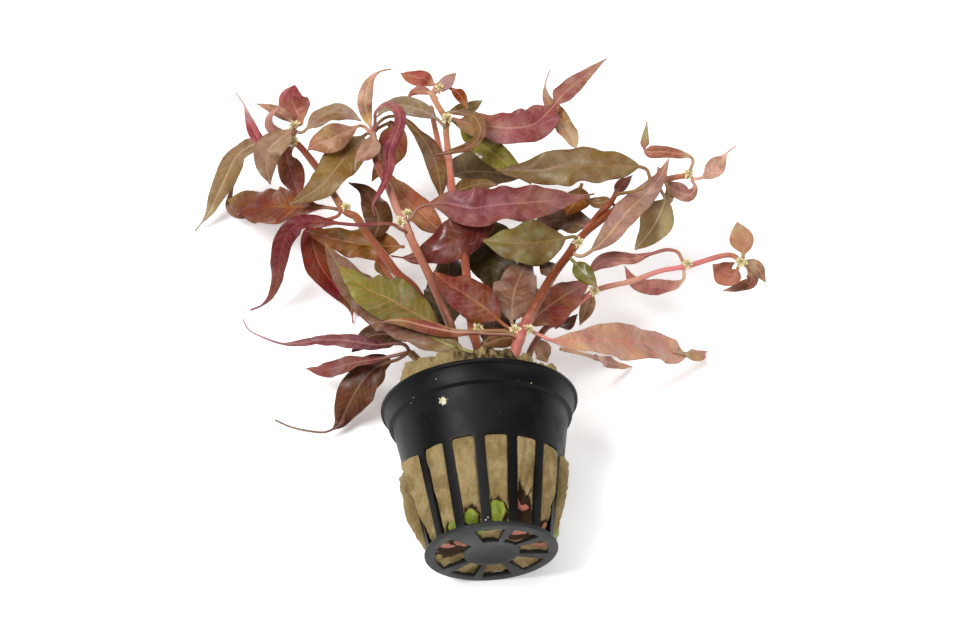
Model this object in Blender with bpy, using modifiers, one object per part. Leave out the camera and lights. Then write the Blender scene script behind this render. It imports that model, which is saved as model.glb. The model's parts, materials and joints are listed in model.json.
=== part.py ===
"""Alternanthera reineckii, rooted in rock wool in its slotted net pot and lying on its side.

The pot rests on the edge of its mouth and the edge of its base, with its mouth towards +Y.
The stems run on from the mouth, and the lowest leaves touch the surface at z = 0.

A stem or leaf is a path of points (column, row, height). Column and row are where the point
shows in the plant's 960 by 640 portrait, and height is its height above the surface in mm.
"""
import math
from dataclasses import dataclass, field

import bmesh
import bpy
from mathutils import Matrix, Vector

MM = 0.001
GAP = 0.3 * MM

# Net pot
RIM_RADIUS = 28.0 * MM
BASE_RADIUS = 18.5 * MM
POT_HEIGHT = 46.0 * MM
BAND_HEIGHT = 5.9 * MM
BAND_TOP_RADIUS = 27.2 * MM
BAND_LOW_RADIUS = 26.0 * MM
STEP_HEIGHT = 0.4 * MM
BODY_TOP_RADIUS = 24.9 * MM
BODY_LOW_RADIUS = 17.7 * MM
PLATE_THICK = 0.9 * MM
LIP_HEIGHT = 0.9 * MM
LIP_ROUND = 0.4 * MM
WALL = 1.1 * MM
FLOOR_THICK = 1.3 * MM
DISH_RADIUS = 5.6 * MM
DISH_SLOPE = 1.0 * MM
DISH_DEPTH = 0.5 * MM
POT_STEPS = 30

# Slots in the side wall and wedge holes in the base
SLOT_COUNT = 15
SLOT_TURN = math.radians(13.0)
SLOT_TOP = 25.6 * MM
SLOT_WIDTH_TOP = 6.5 * MM
SLOT_WIDTH_LOW = 4.9 * MM
SLOT_LOW = FLOOR_THICK + 0.1 * MM
HOLE_IN = 7.8 * MM
HOLE_OUT = 15.6 * MM
HOLE_SPAN = 16.0
# Each hole's middle and spread in degrees
HOLES = [(267.0, 31.0), (309.0, 32.0), (352.0, 33.0), (38.0, 32.0), (83.0, 31.0), (121.0, 28.0), (185.0, 78.0)]

# Rock wool plug
WOOL_STEPS = 20
WOOL_STAND = 6.0 * MM
WOOL_FLAT_RADIUS = 17.0 * MM

# The viewpoint that columns and rows are read from
VIEW_TURN = math.radians(-4.32)
VIEW_RISE = math.radians(48.9)
VIEW_DEPTH = 730.0 * MM
VIEW_LENS = 100.0
VIEW_SENSOR = 36.0
VIEW_COLUMNS = 960
VIEW_ROWS = 640
BASE_CENTRE_COLUMN = 491.5
BASE_CENTRE_ROW = 553.5

# Leaves and stems
LEAF_THICK = 0.6 * MM
# A folded, turned blade shows this share of its width from the viewpoint
SHOWN_WIDTH = 0.9
LEAF_TIP_HALF = 0.3 * MM
# Where a blade is widest, as a share of its length
WIDEST_AT = 0.41
# How much a neck pinches a blade, and over what share of its length
NECK_DEPTH = 0.8
NECK_REACH = 0.05
PETIOLE_HALF = 0.55 * MM
BUD_RADIUS = 1.7 * MM
STEM_SIDES_LEVEL = 1
SPAN_SAMPLES = 12
STEM_FOOT = POT_HEIGHT + WOOL_STAND + 0.9 * MM
STATION_STEP = 9.6 * MM
FEWEST_STATIONS = 5
MOST_STATIONS = 9
SHOOT_RADIUS = (1.0, 0.8)
SHOOT_STATIONS = 6

# The turned pot rests on the flats between its corners
FLAT_SHARE = math.cos(math.pi / POT_STEPS)
TILT = math.atan2((RIM_RADIUS - BASE_RADIUS) * FLAT_SHARE, POT_HEIGHT - LIP_HEIGHT)
AXIS = Vector((0.0, math.cos(TILT), math.sin(TILT)))
UPRIGHT = Vector((0.0, -math.sin(TILT), math.cos(TILT)))
BASE_CENTRE = Vector((0.0, 0.0, BASE_RADIUS * FLAT_SHARE * math.cos(TILT)))

VIEW_RIGHT = Vector((math.cos(VIEW_TURN), math.sin(VIEW_TURN), 0.0))
VIEW_BACK = Vector((
    math.sin(VIEW_TURN) * math.cos(VIEW_RISE),
    -math.cos(VIEW_TURN) * math.cos(VIEW_RISE),
    math.sin(VIEW_RISE),
))
VIEW_UP = VIEW_BACK.cross(VIEW_RIGHT)
VIEW_STEP = VIEW_SENSOR / VIEW_LENS / VIEW_COLUMNS

# Blades face between the viewpoint and straight up
BLADE_FACE = (VIEW_BACK + Vector((0.0, 0.0, 1.0))).normalized()

# Colour and roughness of each finish
FINISHES = {
    "black_plastic": ((0.022, 0.023, 0.024), 0.42),
    "rock_wool": ((0.38, 0.27, 0.13), 0.95),
    "stem_pink": ((0.52, 0.16, 0.13), 0.45),
    "stem_peach": ((0.50, 0.22, 0.13), 0.45),
    "stem_orange": ((0.38, 0.15, 0.07), 0.50),
    "stem_brown": ((0.20, 0.09, 0.05), 0.55),
    "magenta": ((0.24, 0.035, 0.06), 0.38),
    "mauve": ((0.27, 0.11, 0.10), 0.45),
    "pink": ((0.45, 0.15, 0.13), 0.45),
    "peach": ((0.52, 0.25, 0.16), 0.48),
    "crimson": ((0.25, 0.03, 0.05), 0.40),
    "red_brown": ((0.22, 0.07, 0.045), 0.42),
    "brown": ((0.17, 0.08, 0.05), 0.45),
    "dark_brown": ((0.09, 0.04, 0.03), 0.45),
    "tan": ((0.38, 0.22, 0.12), 0.50),
    "olive": ((0.20, 0.17, 0.06), 0.45),
    "grey_olive": ((0.19, 0.17, 0.09), 0.50),
    "dark_olive": ((0.07, 0.07, 0.025), 0.45),
    "green": ((0.16, 0.22, 0.04), 0.25),
}


@dataclass
class Leaf:
    """One leaf: its path from petiole to tip, and the form of its blade.

    The blade is widest at the share peak of its length, is only a thin tail past the share tail, and is pinched at
    the share neck.
    """

    finish: str
    width: float
    path: list
    fold: float = 16.0
    petiole: float = 0.12
    peak: float = WIDEST_AT
    tail: float = 1.0
    neck: float = 0.0
    extra_stations: int = 0


@dataclass
class Stem:
    """One stem: where it leaves the wool, its path, its radii, and what is grown fast to it."""

    finish: str
    start: tuple
    path: list
    radius: tuple
    stations: int = 12
    shoots: list = field(default_factory=list)
    buds: list = field(default_factory=list)
    leaflets: list = field(default_factory=list)


STEMS = {
    "right_stem": Stem(
        "stem_pink", (9.0, 11.5),
        [(515, 352, 41), (521, 334, 42), (538, 301, 40), (553, 275, 39), (568, 255, 38), (582, 236, 37),
         (601, 220, 36), (622, 204, 35), (643, 188, 34), (668, 179, 33), (689, 175, 33)],
        (1.55, 0.85), 13,
        shoots=[[(585, 232, 36.5), (600, 213, 36.5), (608, 206, 37), (614, 197, 37), (617, 190, 37)]],
        buds=[(515, 330, 43), (528, 330, 42), (578, 243, 39), (689, 174, 34)],
        leaflets=[
            Leaf("pink", 4.8, [(690, 178, 33), (695, 187, 32), (689, 195, 31.5), (678, 191, 31), (664, 182, 31)],
                 petiole=0.05, peak=0.6),
            Leaf("pink", 2.8, [(667, 179, 33.5), (662, 174, 35), (657, 167, 36)], petiole=0.05),
            Leaf("tan", 2.8, [(665, 181, 33), (669, 192, 30.5), (668, 206, 29)], petiole=0.05, peak=0.6),
            Leaf("crimson", 3.4, [(615, 193, 36.5), (623, 184, 35.5), (632, 176, 35)], petiole=0.05),
            Leaf("brown", 3.6, [(614, 205, 36), (607, 201, 36.5), (598, 203, 36), (586, 200, 35)]),
            Leaf("mauve", 9.0, [(592, 228, 35.8), (583, 226, 31.5), (556, 220, 26.5), (528, 231, 25)]),
            Leaf("dark_olive", 5.0, [(552, 278, 38), (548, 268, 35), (541, 259, 33)]),
            Leaf("brown", 5.2, [(521, 338, 41), (500, 339, 37), (480, 346, 34)], petiole=0.05),
        ]),
    "low_right_stem": Stem(
        "stem_pink", (13.5, 6.0),
        [(531, 350, 35), (545, 329, 32), (558, 321, 30), (593, 292, 27), (632, 281, 26), (660, 271, 26),
         (687, 266, 26), (727, 255, 26), (742, 262, 26)],
        (0.95, 0.75), 11,
        buds=[(594, 291, 28), (687, 264, 27), (741, 262, 27)],
        leaflets=[
            Leaf("peach", 3.8, [(740, 261, 26), (751, 272, 23), (750, 283, 18), (737, 288, 15), (723, 291, 13)]),
            Leaf("tan", 3.8, [(740, 260, 26), (754, 265, 25), (761, 274, 22), (765, 282, 19)]),
            Leaf("dark_olive", 4.4, [(552, 325, 31), (566, 324, 25), (577, 315, 23)]),
            Leaf("tan", 4.0, [(593, 292, 27), (588, 306, 24), (580, 325, 19)], petiole=0.05),
            Leaf("tan", 5.6, [(534, 346, 34), (541, 351, 31), (547, 362, 27)], petiole=0.05),
        ]),
    "centre_stem": Stem(
        "stem_pink", (0.0, 7.0),
        [(478, 350, 36), (473, 331, 35), (469, 300, 34), (465, 262, 33), (458, 225, 32), (453, 195, 31),
         (450, 170, 31), (446, 131, 30), (447, 121, 30), (437, 104, 30), (433, 94, 30), (440, 83, 30.5)],
        (1.4, 0.9), 13,
        shoots=[[(459, 226, 31.5), (451, 190, 27), (440, 150, 26), (434, 123, 26), (431, 106, 27)]],
        buds=[(478, 328, 37), (447, 119, 32), (440, 88, 31)],
        leaflets=[
            Leaf("crimson", 5.6, [(436, 86, 30), (424, 79, 32), (412, 77, 32), (401, 74, 31)], petiole=0.05),
            Leaf("mauve", 4.2, [(435, 93, 30.3), (442, 87, 31.5), (456, 73, 34)], petiole=0.05, peak=0.5),
            Leaf("peach", 2.6, [(437, 98, 30.2), (425, 91, 32), (414, 92, 33), (407, 99, 33.5)]),
            Leaf("olive", 4.6, [(444, 114, 30), (464, 109, 29), (475, 105, 28), (482, 101, 28)], petiole=0.05,
                 peak=0.55),
            Leaf("grey_olive", 12.0, [(451, 176, 30), (466, 172, 26), (488, 172, 23), (520, 178, 21)], petiole=0.05),
            Leaf("brown", 5.6, [(454, 192, 30.5), (468, 187, 27.5), (482, 184, 26), (498, 185, 25)], petiole=0.05),
        ]),
    "mid_left_stem": Stem(
        "stem_peach", (-6.0, 8.5),
        [(452, 332, 37), (442, 305, 37), (429, 275, 37), (418, 253, 37), (410, 236, 36), (405, 221, 36),
         (398, 211, 35.5), (390, 191, 35), (380, 170, 34), (375, 156, 33), (373, 135, 33)],
        (1.4, 1.0), 13,
        buds=[(400, 222, 37), (407, 214, 37)]),
    "left_stem": Stem(
        "stem_orange", (-9.0, 3.0),
        [(440, 335, 32), (416, 291, 32), (397, 273, 31), (381, 252, 31), (366, 232, 30), (356, 217, 29),
         (345, 211, 29), (331, 190, 27), (318, 169, 27), (304, 151, 27), (291, 136, 27), (294, 127, 28)],
        (1.4, 1.0), 13,
        shoots=[[(430, 318, 31), (402, 291, 26), (390, 277, 24), (376, 258, 22)]],
        buds=[(346, 208, 30), (294, 142, 28), (294, 126, 29)],
        leaflets=[
            Leaf("peach", 3.4, [(296, 127, 28), (287, 117, 31), (272, 109, 33), (257, 104, 33)]),
            Leaf("pink", 3.0, [(295, 134, 27.5), (281, 133, 30), (270, 127, 32.5), (270, 116, 34.5), (281, 107, 36)]),
            Leaf("crimson", 7.6, [(297, 143, 26.8), (287, 155, 22.5), (292, 175, 17), (299, 198, 14)], petiole=0.05,
                 peak=0.55),
            Leaf("dark_brown", 8.0, [(372, 241, 30), (379, 222, 27), (372, 201, 25), (364, 190, 24),
                                     (349, 183, 24)], petiole=0.05),
            Leaf("brown", 4.0, [(376, 259, 22.3), (382, 268, 22.5), (390, 280, 23)], petiole=0.05),
        ]),
    "low_left_stem": Stem(
        "stem_brown", (-13.5, -5.0),
        [(420, 364, 26), (410, 352, 26)],
        (1.2, 1.0), 6),
}

LEAVES = {
    "left_leaf_01": Leaf("tan", 7.0, [(283, 137, 25.5), (268, 140, 24.5), (251, 146, 23), (237, 156, 20),
                                      (227, 175, 14), (217, 195, 9), (209, 213, 5), (195, 231, 0.5)], tail=0.92),
    "left_leaf_02": Leaf("pink", 3.6, [(284, 139, 28.2), (266, 146, 27.6), (256, 136, 29), (249, 120, 30.5),
                                       (244, 105, 33), (236, 93, 35)], tail=0.82),
    "left_leaf_03": Leaf("crimson", 9.6, [(302, 123, 28.5), (297, 112, 28.5), (292, 98, 32), (295, 85, 35)],
                         petiole=0.05, peak=0.5),
    "left_leaf_04": Leaf("mauve", 8.4, [(294, 128, 31.5), (283, 137, 31.5), (269, 149, 29.5), (266, 163, 27),
                                        (270, 184, 25)], petiole=0.08),
    "left_leaf_05": Leaf("olive", 6.4, [(301, 133, 27), (309, 127, 28), (320, 118, 29), (332, 113, 30),
                                        (346, 113, 30), (361, 121, 29)]),
    "left_leaf_06": Leaf("red_brown", 12.4, [(343, 211, 27), (330, 208, 27), (312, 207, 26), (287, 207, 23),
                                             (261, 205, 17), (228, 200, 9)], petiole=0.08, peak=0.58),
    "left_leaf_07": Leaf("dark_olive", 4.4, [(327, 194, 24), (300, 200, 18), (265, 207, 11), (240, 213, 6),
                                             (229, 205, 5), (234, 183, 6)]),
    "left_leaf_08": Leaf("red_brown", 8.4, [(338, 216, 26), (322, 222, 22.5), (313, 233, 20.5), (314, 248, 17.5),
                                            (321, 267, 13.5), (337, 288, 7), (350, 305, 3.5), (353, 323, 0.5)],
                         tail=0.95),
    "mid_leaf_01": Leaf("tan", 4.4, [(372, 130, 34), (366, 113, 38), (365, 98, 42), (370, 81, 44.5), (379, 72, 46),
                                     (391, 69, 47)], petiole=0.05, tail=0.86),
    "mid_leaf_02": Leaf("peach", 8.4, [(362, 126, 34.5), (350, 130, 37), (333, 138, 38), (318, 144, 37.5),
                                        (308, 150, 37)], petiole=0.08, peak=0.6),
    "mid_leaf_03": Leaf("olive", 10.8, [(367, 134, 31), (358, 142, 32), (343, 160, 33), (321, 186, 32),
                                        (290, 205, 30)], petiole=0.05),
    "mid_leaf_04": Leaf("peach", 5.6, [(374, 133, 37), (370, 148, 38), (357, 161, 38), (355, 171, 37)], tail=0.86),
    "mid_leaf_05": Leaf("magenta", 3.8, [(375, 123, 36), (376, 112, 40), (386, 105, 43), (398, 111, 44),
                                         (400, 124, 43), (394, 138, 42), (389, 153, 41), (389, 168, 40),
                                         (383, 187, 39), (373, 205, 37), (375, 217, 35)], petiole=0.08),
    "mid_leaf_06": Leaf("brown", 8.6, [(379, 128, 32), (391, 125, 31), (392, 148, 29), (372, 181, 25)]),
    "mid_leaf_07": Leaf("crimson", 5.6, [(400, 229, 39), (389, 224, 38), (357, 225, 35), (320, 222, 32),
                                         (298, 224, 29), (284, 240, 24), (279, 262, 18), (274, 290, 9),
                                         (264, 304, 4.5), (251, 310, 0.5)], petiole=0.3, tail=0.92),
    "mid_leaf_08": Leaf("brown", 9.8, [(404, 247, 28), (388, 246, 25.5), (362, 244, 23.5), (335, 239, 23),
                                       (306, 231, 22.5)], petiole=0.05),
    "mid_leaf_09": Leaf("mauve", 11.8, [(411, 218, 38), (420, 207, 40), (444, 203, 41), (471, 208, 42),
                                        (489, 206, 42), (522, 203, 42), (560, 200, 40), (594, 194, 38)], tail=0.96),
    "centre_leaf_01": Leaf("tan", 3.4, [(449, 88, 30), (457, 92, 32), (463, 100, 33), (468, 110, 33)]),
    "centre_leaf_02": Leaf("peach", 3.6, [(450, 113, 32), (463, 113, 38), (475, 118, 41), (481, 129, 41),
                                          (477, 140, 40), (468, 147, 39), (455, 151, 37), (433, 156, 34)]),
    "centre_leaf_03": Leaf("magenta", 10.4, [(453, 119, 32), (466, 123, 34), (486, 126, 36), (512, 128, 37),
                                              (534, 124, 36), (550, 110, 36), (564, 94, 36.5), (584, 76, 37),
                                              (606, 59, 38)], petiole=0.04, peak=0.34, neck=0.6, extra_stations=3),
    "centre_leaf_04": Leaf("grey_olive", 5.6, [(443, 125, 32), (433, 116, 34), (418, 109, 35),
                                               (401, 105, 36), (386, 108, 36.5), (377, 117, 36.5)]),
    "mid_leaf_10": Leaf("grey_olive", 5.8, [(378, 124, 33.4), (388, 117, 33.2), (402, 118, 32.8), (415, 130, 31),
                                            (429, 148, 29.5), (438, 170, 28), (441, 199, 27)], peak=0.6),
    "centre_leaf_06": Leaf("green", 7.6, [(453, 121, 28.5), (461, 128, 29), (478, 142, 30), (497, 156, 31),
                                          (514, 170, 31), (531, 184, 30)]),
    "centre_leaf_07": Leaf("brown", 8.8, [(454, 234, 30), (440, 230, 29), (420, 213, 29), (402, 196, 29),
                                          (390, 174, 28)]),
    "centre_leaf_08": Leaf("magenta", 11.4, [(464, 214, 33.5), (481, 215, 34), (489, 222, 35), (470, 232, 35.6),
                                              (447, 244, 35), (425, 255, 32), (408, 258, 30.5), (391, 256, 29.5)],
                           petiole=0.2, peak=0.42, tail=0.9),
    "centre_leaf_05": Leaf("dark_olive", 15.5, [(471, 222, 29), (484, 232, 27), (492, 257, 25),
                                                (493, 295, 22)], petiole=0.05),
    "deep_leaf_01": Leaf("dark_olive", 13.0, [(452, 330, 27), (446, 312, 25), (448, 283, 23), (450, 246, 22)],
                         petiole=0.05),
    "deep_leaf_02": Leaf("dark_brown", 12.0, [(482, 345, 26.5), (492, 330, 23), (499, 300, 19.5), (505, 262, 17)],
                         petiole=0.05),
    "right_leaf_01": Leaf("tan", 5.8, [(577, 151, 31), (569, 134, 32), (557, 114, 32), (547, 99, 32),
                                       (545, 86, 33), (550, 69, 34)], petiole=0.04, peak=0.34, tail=0.82),
    "right_leaf_02": Leaf("olive", 11.6, [(620, 194, 39), (631, 192, 42), (647, 186, 44), (649, 175, 45),
                                          (640, 167, 45), (601, 166, 45), (561, 167, 43), (530, 171, 41),
                                          (496, 171, 39)], petiole=0.3),
    "right_leaf_03": Leaf("olive", 12.8, [(575, 237, 40.5), (556, 240, 41), (530, 243, 41), (505, 243, 40),
                                           (483, 241, 39)]),
    "right_leaf_04": Leaf("tan", 7.8, [(582, 184, 34), (576, 200, 33), (566, 215, 32)]),
    "right_leaf_05": Leaf("mauve", 7.4, [(583, 256, 38), (603, 241, 39), (619, 222, 39.2), (631, 208, 38.2),
                                         (646, 194, 38), (660, 177, 38), (669, 159, 38)], petiole=0.06),
    "right_leaf_06": Leaf("olive", 9.4, [(661, 191, 32.5), (665, 199, 32), (661, 211, 31), (652, 229, 27),
                                         (635, 250, 22)], petiole=0.15),
    "right_leaf_07": Leaf("crimson", 3.8, [(691, 168, 36), (693, 161, 37), (688, 156, 38), (666, 152, 38),
                                           (646, 151, 37), (645, 140, 38), (647, 122, 40)], neck=0.62,
                          extra_stations=3),
    "right_leaf_08": Leaf("peach", 5.4, [(694, 179, 33), (704, 177, 32), (714, 169, 31.5), (722, 159, 31),
                                         (728, 152, 31), (736, 146, 31)], peak=0.5, tail=0.76),
    "right_leaf_09": Leaf("dark_brown", 12.6, [(527, 326, 39), (540, 313, 34.6), (564, 296, 30.8),
                                               (590, 281, 29)], petiole=0.06),
    "right_leaf_10": Leaf("green", 5.0, [(572, 260, 38), (582, 271, 38), (597, 287, 36)]),
    "right_leaf_11": Leaf("mauve", 11.8, [(513, 325, 39.2), (512, 311, 38.8), (514, 293, 38), (521, 274, 35.5),
                                          (530, 256, 33.5)], petiole=0.06),
    "right_leaf_12": Leaf("mauve", 11.2, [(507, 327, 42), (486, 309, 41), (466, 295, 40.5), (447, 283, 40),
                                           (434, 272, 39.5)]),
    "right_leaf_13": Leaf("olive", 12.2, [(509, 333, 44), (501, 331, 45), (486, 331, 46), (475, 332, 46),
                                          (452, 330, 45), (431, 322, 44), (407, 309, 42), (388, 298, 41),
                                          (366, 288, 39), (339, 267, 36)], petiole=0.34),
    "right_leaf_14": Leaf("peach", 10.6, [(541, 336, 40), (555, 341, 39.5), (586, 341, 35), (618, 341, 28),
                                          (648, 344, 20), (672, 351, 12), (689, 355, 6), (707, 352, 1.2)],
                         petiole=0.04, peak=0.44, neck=0.86, extra_stations=3),
    "tip_leaf_01": Leaf("tan", 6.6, [(743, 256, 28.4), (743, 246, 30.5), (737, 222, 35)], petiole=0.05, peak=0.45),
    "tip_leaf_02": Leaf("red_brown", 8.0, [(738, 268, 24), (731, 275, 22), (713, 265, 20.5)], petiole=0.05),
    "low_leaf_01": Leaf("mauve", 4.6, [(682, 260, 27), (677, 252, 29), (666, 250, 31), (651, 254, 32),
                                       (631, 259, 32), (611, 259, 32), (597, 265, 32), (588, 274, 32)],
                        petiole=0.3, peak=0.58),
    "low_leaf_02": Leaf("mauve", 4.8, [(684, 272, 24), (683, 280, 21), (671, 286, 18), (647, 287, 15),
                                       (633, 281, 14), (625, 267, 14)]),
    "low_leaf_03": Leaf("mauve", 3.2, [(560, 349, 26), (577, 353, 23), (593, 357, 18), (608, 362, 10), (622, 366, 4),
                                       (631, 367, 0.5)], peak=0.6),
    "collar_leaf_01": Leaf("mauve", 12.0, [(484, 356, 43), (460, 349, 42), (440, 341, 42), (402, 321, 39),
                                           (370, 298, 35), (343, 272, 31), (325, 243, 27)], petiole=0.08),
    "collar_leaf_02": Leaf("pink", 4.0, [(402, 344, 29), (376, 345, 26), (350, 341, 23), (322, 340, 18),
                                         (303, 343, 16), (283, 344, 14), (262, 337, 11), (249, 330, 10),
                                         (243, 320, 9)], petiole=0.03, tail=0.7),
    "collar_leaf_03": Leaf("pink", 5.0, [(402, 354, 26.5), (379, 359, 24.5), (354, 363, 19.5), (326, 370, 11),
                                         (307, 369, 7)], petiole=0.03, peak=0.62),
    "collar_leaf_04": Leaf("red_brown", 10.8, [(397, 360, 21.5), (383, 364, 18), (370, 373, 15.5),
                                               (358, 388, 12), (347, 408, 7), (339, 424, 4), (326, 432, 3),
                                               (309, 431, 1.8), (291, 427, 1), (275, 420, 0.5)],
                          petiole=0.05, peak=0.42, tail=0.6),
    "collar_leaf_05": Leaf("dark_olive", 9.0, [(406, 341, 21), (392, 335, 20), (371, 336, 17),
                                               (352, 352, 13)], petiole=0.05),
}


def seen(column, row, height):
    """The point at this height that shows at this column and row of the portrait."""
    right = (BASE_CENTRE_COLUMN - VIEW_COLUMNS / 2) * VIEW_STEP * VIEW_DEPTH
    rise = (VIEW_ROWS / 2 - BASE_CENTRE_ROW) * VIEW_STEP * VIEW_DEPTH
    eye = BASE_CENTRE - right * VIEW_RIGHT - rise * VIEW_UP + VIEW_DEPTH * VIEW_BACK
    ray = ((column - VIEW_COLUMNS / 2) * VIEW_STEP * VIEW_RIGHT
           + (VIEW_ROWS / 2 - row) * VIEW_STEP * VIEW_UP - VIEW_BACK)
    return eye + ray * ((height * MM - eye.z) / ray.z)


def in_pot(across, up, along):
    """A point given across the pot, up from its axis, and along it from the base."""
    return BASE_CENTRE + Vector((across, 0.0, 0.0)) + up * UPRIGHT + along * AXIS


def even_points(points, count):
    """Points spaced evenly along a smooth curve through the given ones."""
    ends = [2 * points[0] - points[1]] + points + [2 * points[-1] - points[-2]]
    dense = []
    for index in range(1, len(ends) - 2):
        before, first, second, after = ends[index - 1:index + 3]
        for sample in range(SPAN_SAMPLES):
            t = sample / SPAN_SAMPLES
            dense.append(0.5 * (2 * first + (second - before) * t
                                + (2 * before - 5 * first + 4 * second - after) * t ** 2
                                + (3 * first - before - 3 * second + after) * t ** 3))
    dense.append(points[-1].copy())
    travelled = [0.0]
    for one, other in zip(dense, dense[1:]):
        travelled.append(travelled[-1] + (other - one).length)
    result = []
    span = 0
    for step in range(count):
        target = travelled[-1] * step / (count - 1)
        while span < len(dense) - 2 and travelled[span + 1] < target:
            span += 1
        share = (target - travelled[span]) / (travelled[span + 1] - travelled[span])
        result.append(dense[span].lerp(dense[span + 1], min(share, 1.0)))
    return result


def new_collection(name):
    """A collection linked to the scene."""
    group = bpy.data.collections.new(name)
    bpy.context.scene.collection.children.link(group)
    return group


def add_object(name, mesh, group):
    """An object for this mesh, in this collection."""
    piece = bpy.data.objects.new(name, mesh)
    group.objects.link(piece)
    return piece


def hide(piece):
    """Mark a cutter or an addition, which is no piece of its own."""
    piece.hide_render = True
    piece.display_type = "WIRE"


def dress(piece, finish):
    """Give the piece a material of its own."""
    colour, roughness = FINISHES[finish]
    material = bpy.data.materials.new(piece.name + "_finish")
    material.use_nodes = True
    shader = material.node_tree.nodes["Principled BSDF"]
    shader.inputs["Base Color"].default_value = (*colour, 1.0)
    shader.inputs["Roughness"].default_value = roughness
    shader.inputs["Metallic"].default_value = 0.0
    piece.data.materials.clear()
    piece.data.materials.append(material)


def combine(piece, other, operation):
    """Cut the piece with the other one, or join the other one to it."""
    boolean = piece.modifiers.new(other.name, "BOOLEAN")
    boolean.operation = operation
    boolean.solver = "EXACT"
    boolean.object = other


def as_mesh(piece, group):
    """The same piece as a closed mesh in place of a curve."""
    bpy.context.view_layer.update()
    shape = piece.evaluated_get(bpy.context.evaluated_depsgraph_get())
    mesh = bpy.data.meshes.new_from_object(shape)
    form = bmesh.new()
    form.from_mesh(mesh)
    bmesh.ops.remove_doubles(form, verts=form.verts, dist=0.001 * MM)
    form.to_mesh(mesh)
    form.free()
    name = piece.name
    place = piece.matrix_world.copy()
    bpy.data.objects.remove(piece)
    solid = add_object(name, mesh, group)
    solid.matrix_world = place
    return solid


def turned(name, profile, steps, group):
    """A profile of (radius, along) points turned about the pot's axis."""
    form = bmesh.new()
    corners = [form.verts.new((radius, 0.0, along)) for radius, along in profile]
    for one, other in zip(corners, corners[1:]):
        form.edges.new((one, other))
    mesh = bpy.data.meshes.new(name)
    form.to_mesh(mesh)
    form.free()
    piece = add_object(name, mesh, group)
    screw = piece.modifiers.new("turn", "SCREW")
    screw.steps = steps
    screw.render_steps = steps
    screw.use_merge_vertices = True
    screw.merge_threshold = 0.01 * MM
    screw.use_smooth_shade = False
    piece.matrix_world = pot_matrix()
    return piece


def pot_matrix():
    """The pot's own frame, with Z along its axis, laid on the surface."""
    across = Vector((1.0, 0.0, 0.0))
    columns = Matrix((across, AXIS.cross(across), AXIS)).transposed()
    return Matrix.Translation(BASE_CENTRE) @ columns.to_4x4()


def prism(name, outline, depth, group):
    """A flat outline with an even thickness, centred on its plane."""
    curve = bpy.data.curves.new(name, "CURVE")
    curve.dimensions = "2D"
    curve.fill_mode = "BOTH"
    curve.extrude = depth / 2
    spline = curve.splines.new("POLY")
    spline.points.add(len(outline) - 1)
    for point, (across, along) in zip(spline.points, outline):
        point.co = (across, along, 0.0, 1.0)
    spline.use_cyclic_u = True
    piece = add_object(name, curve, group)
    return as_mesh(piece, group)


def wall_radius(along):
    """Outer radius of the pot's body at this distance from its base."""
    return BODY_LOW_RADIUS + (BODY_TOP_RADIUS - BODY_LOW_RADIUS) * along / (POT_HEIGHT - BAND_HEIGHT)


def slot_outline():
    """A slot's outline, narrow at the base."""
    low = SLOT_WIDTH_LOW / 2
    wide = SLOT_WIDTH_TOP / 2
    return [(-low, SLOT_LOW), (low, SLOT_LOW), (wide, SLOT_TOP), (-wide, SLOT_TOP)]


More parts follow.
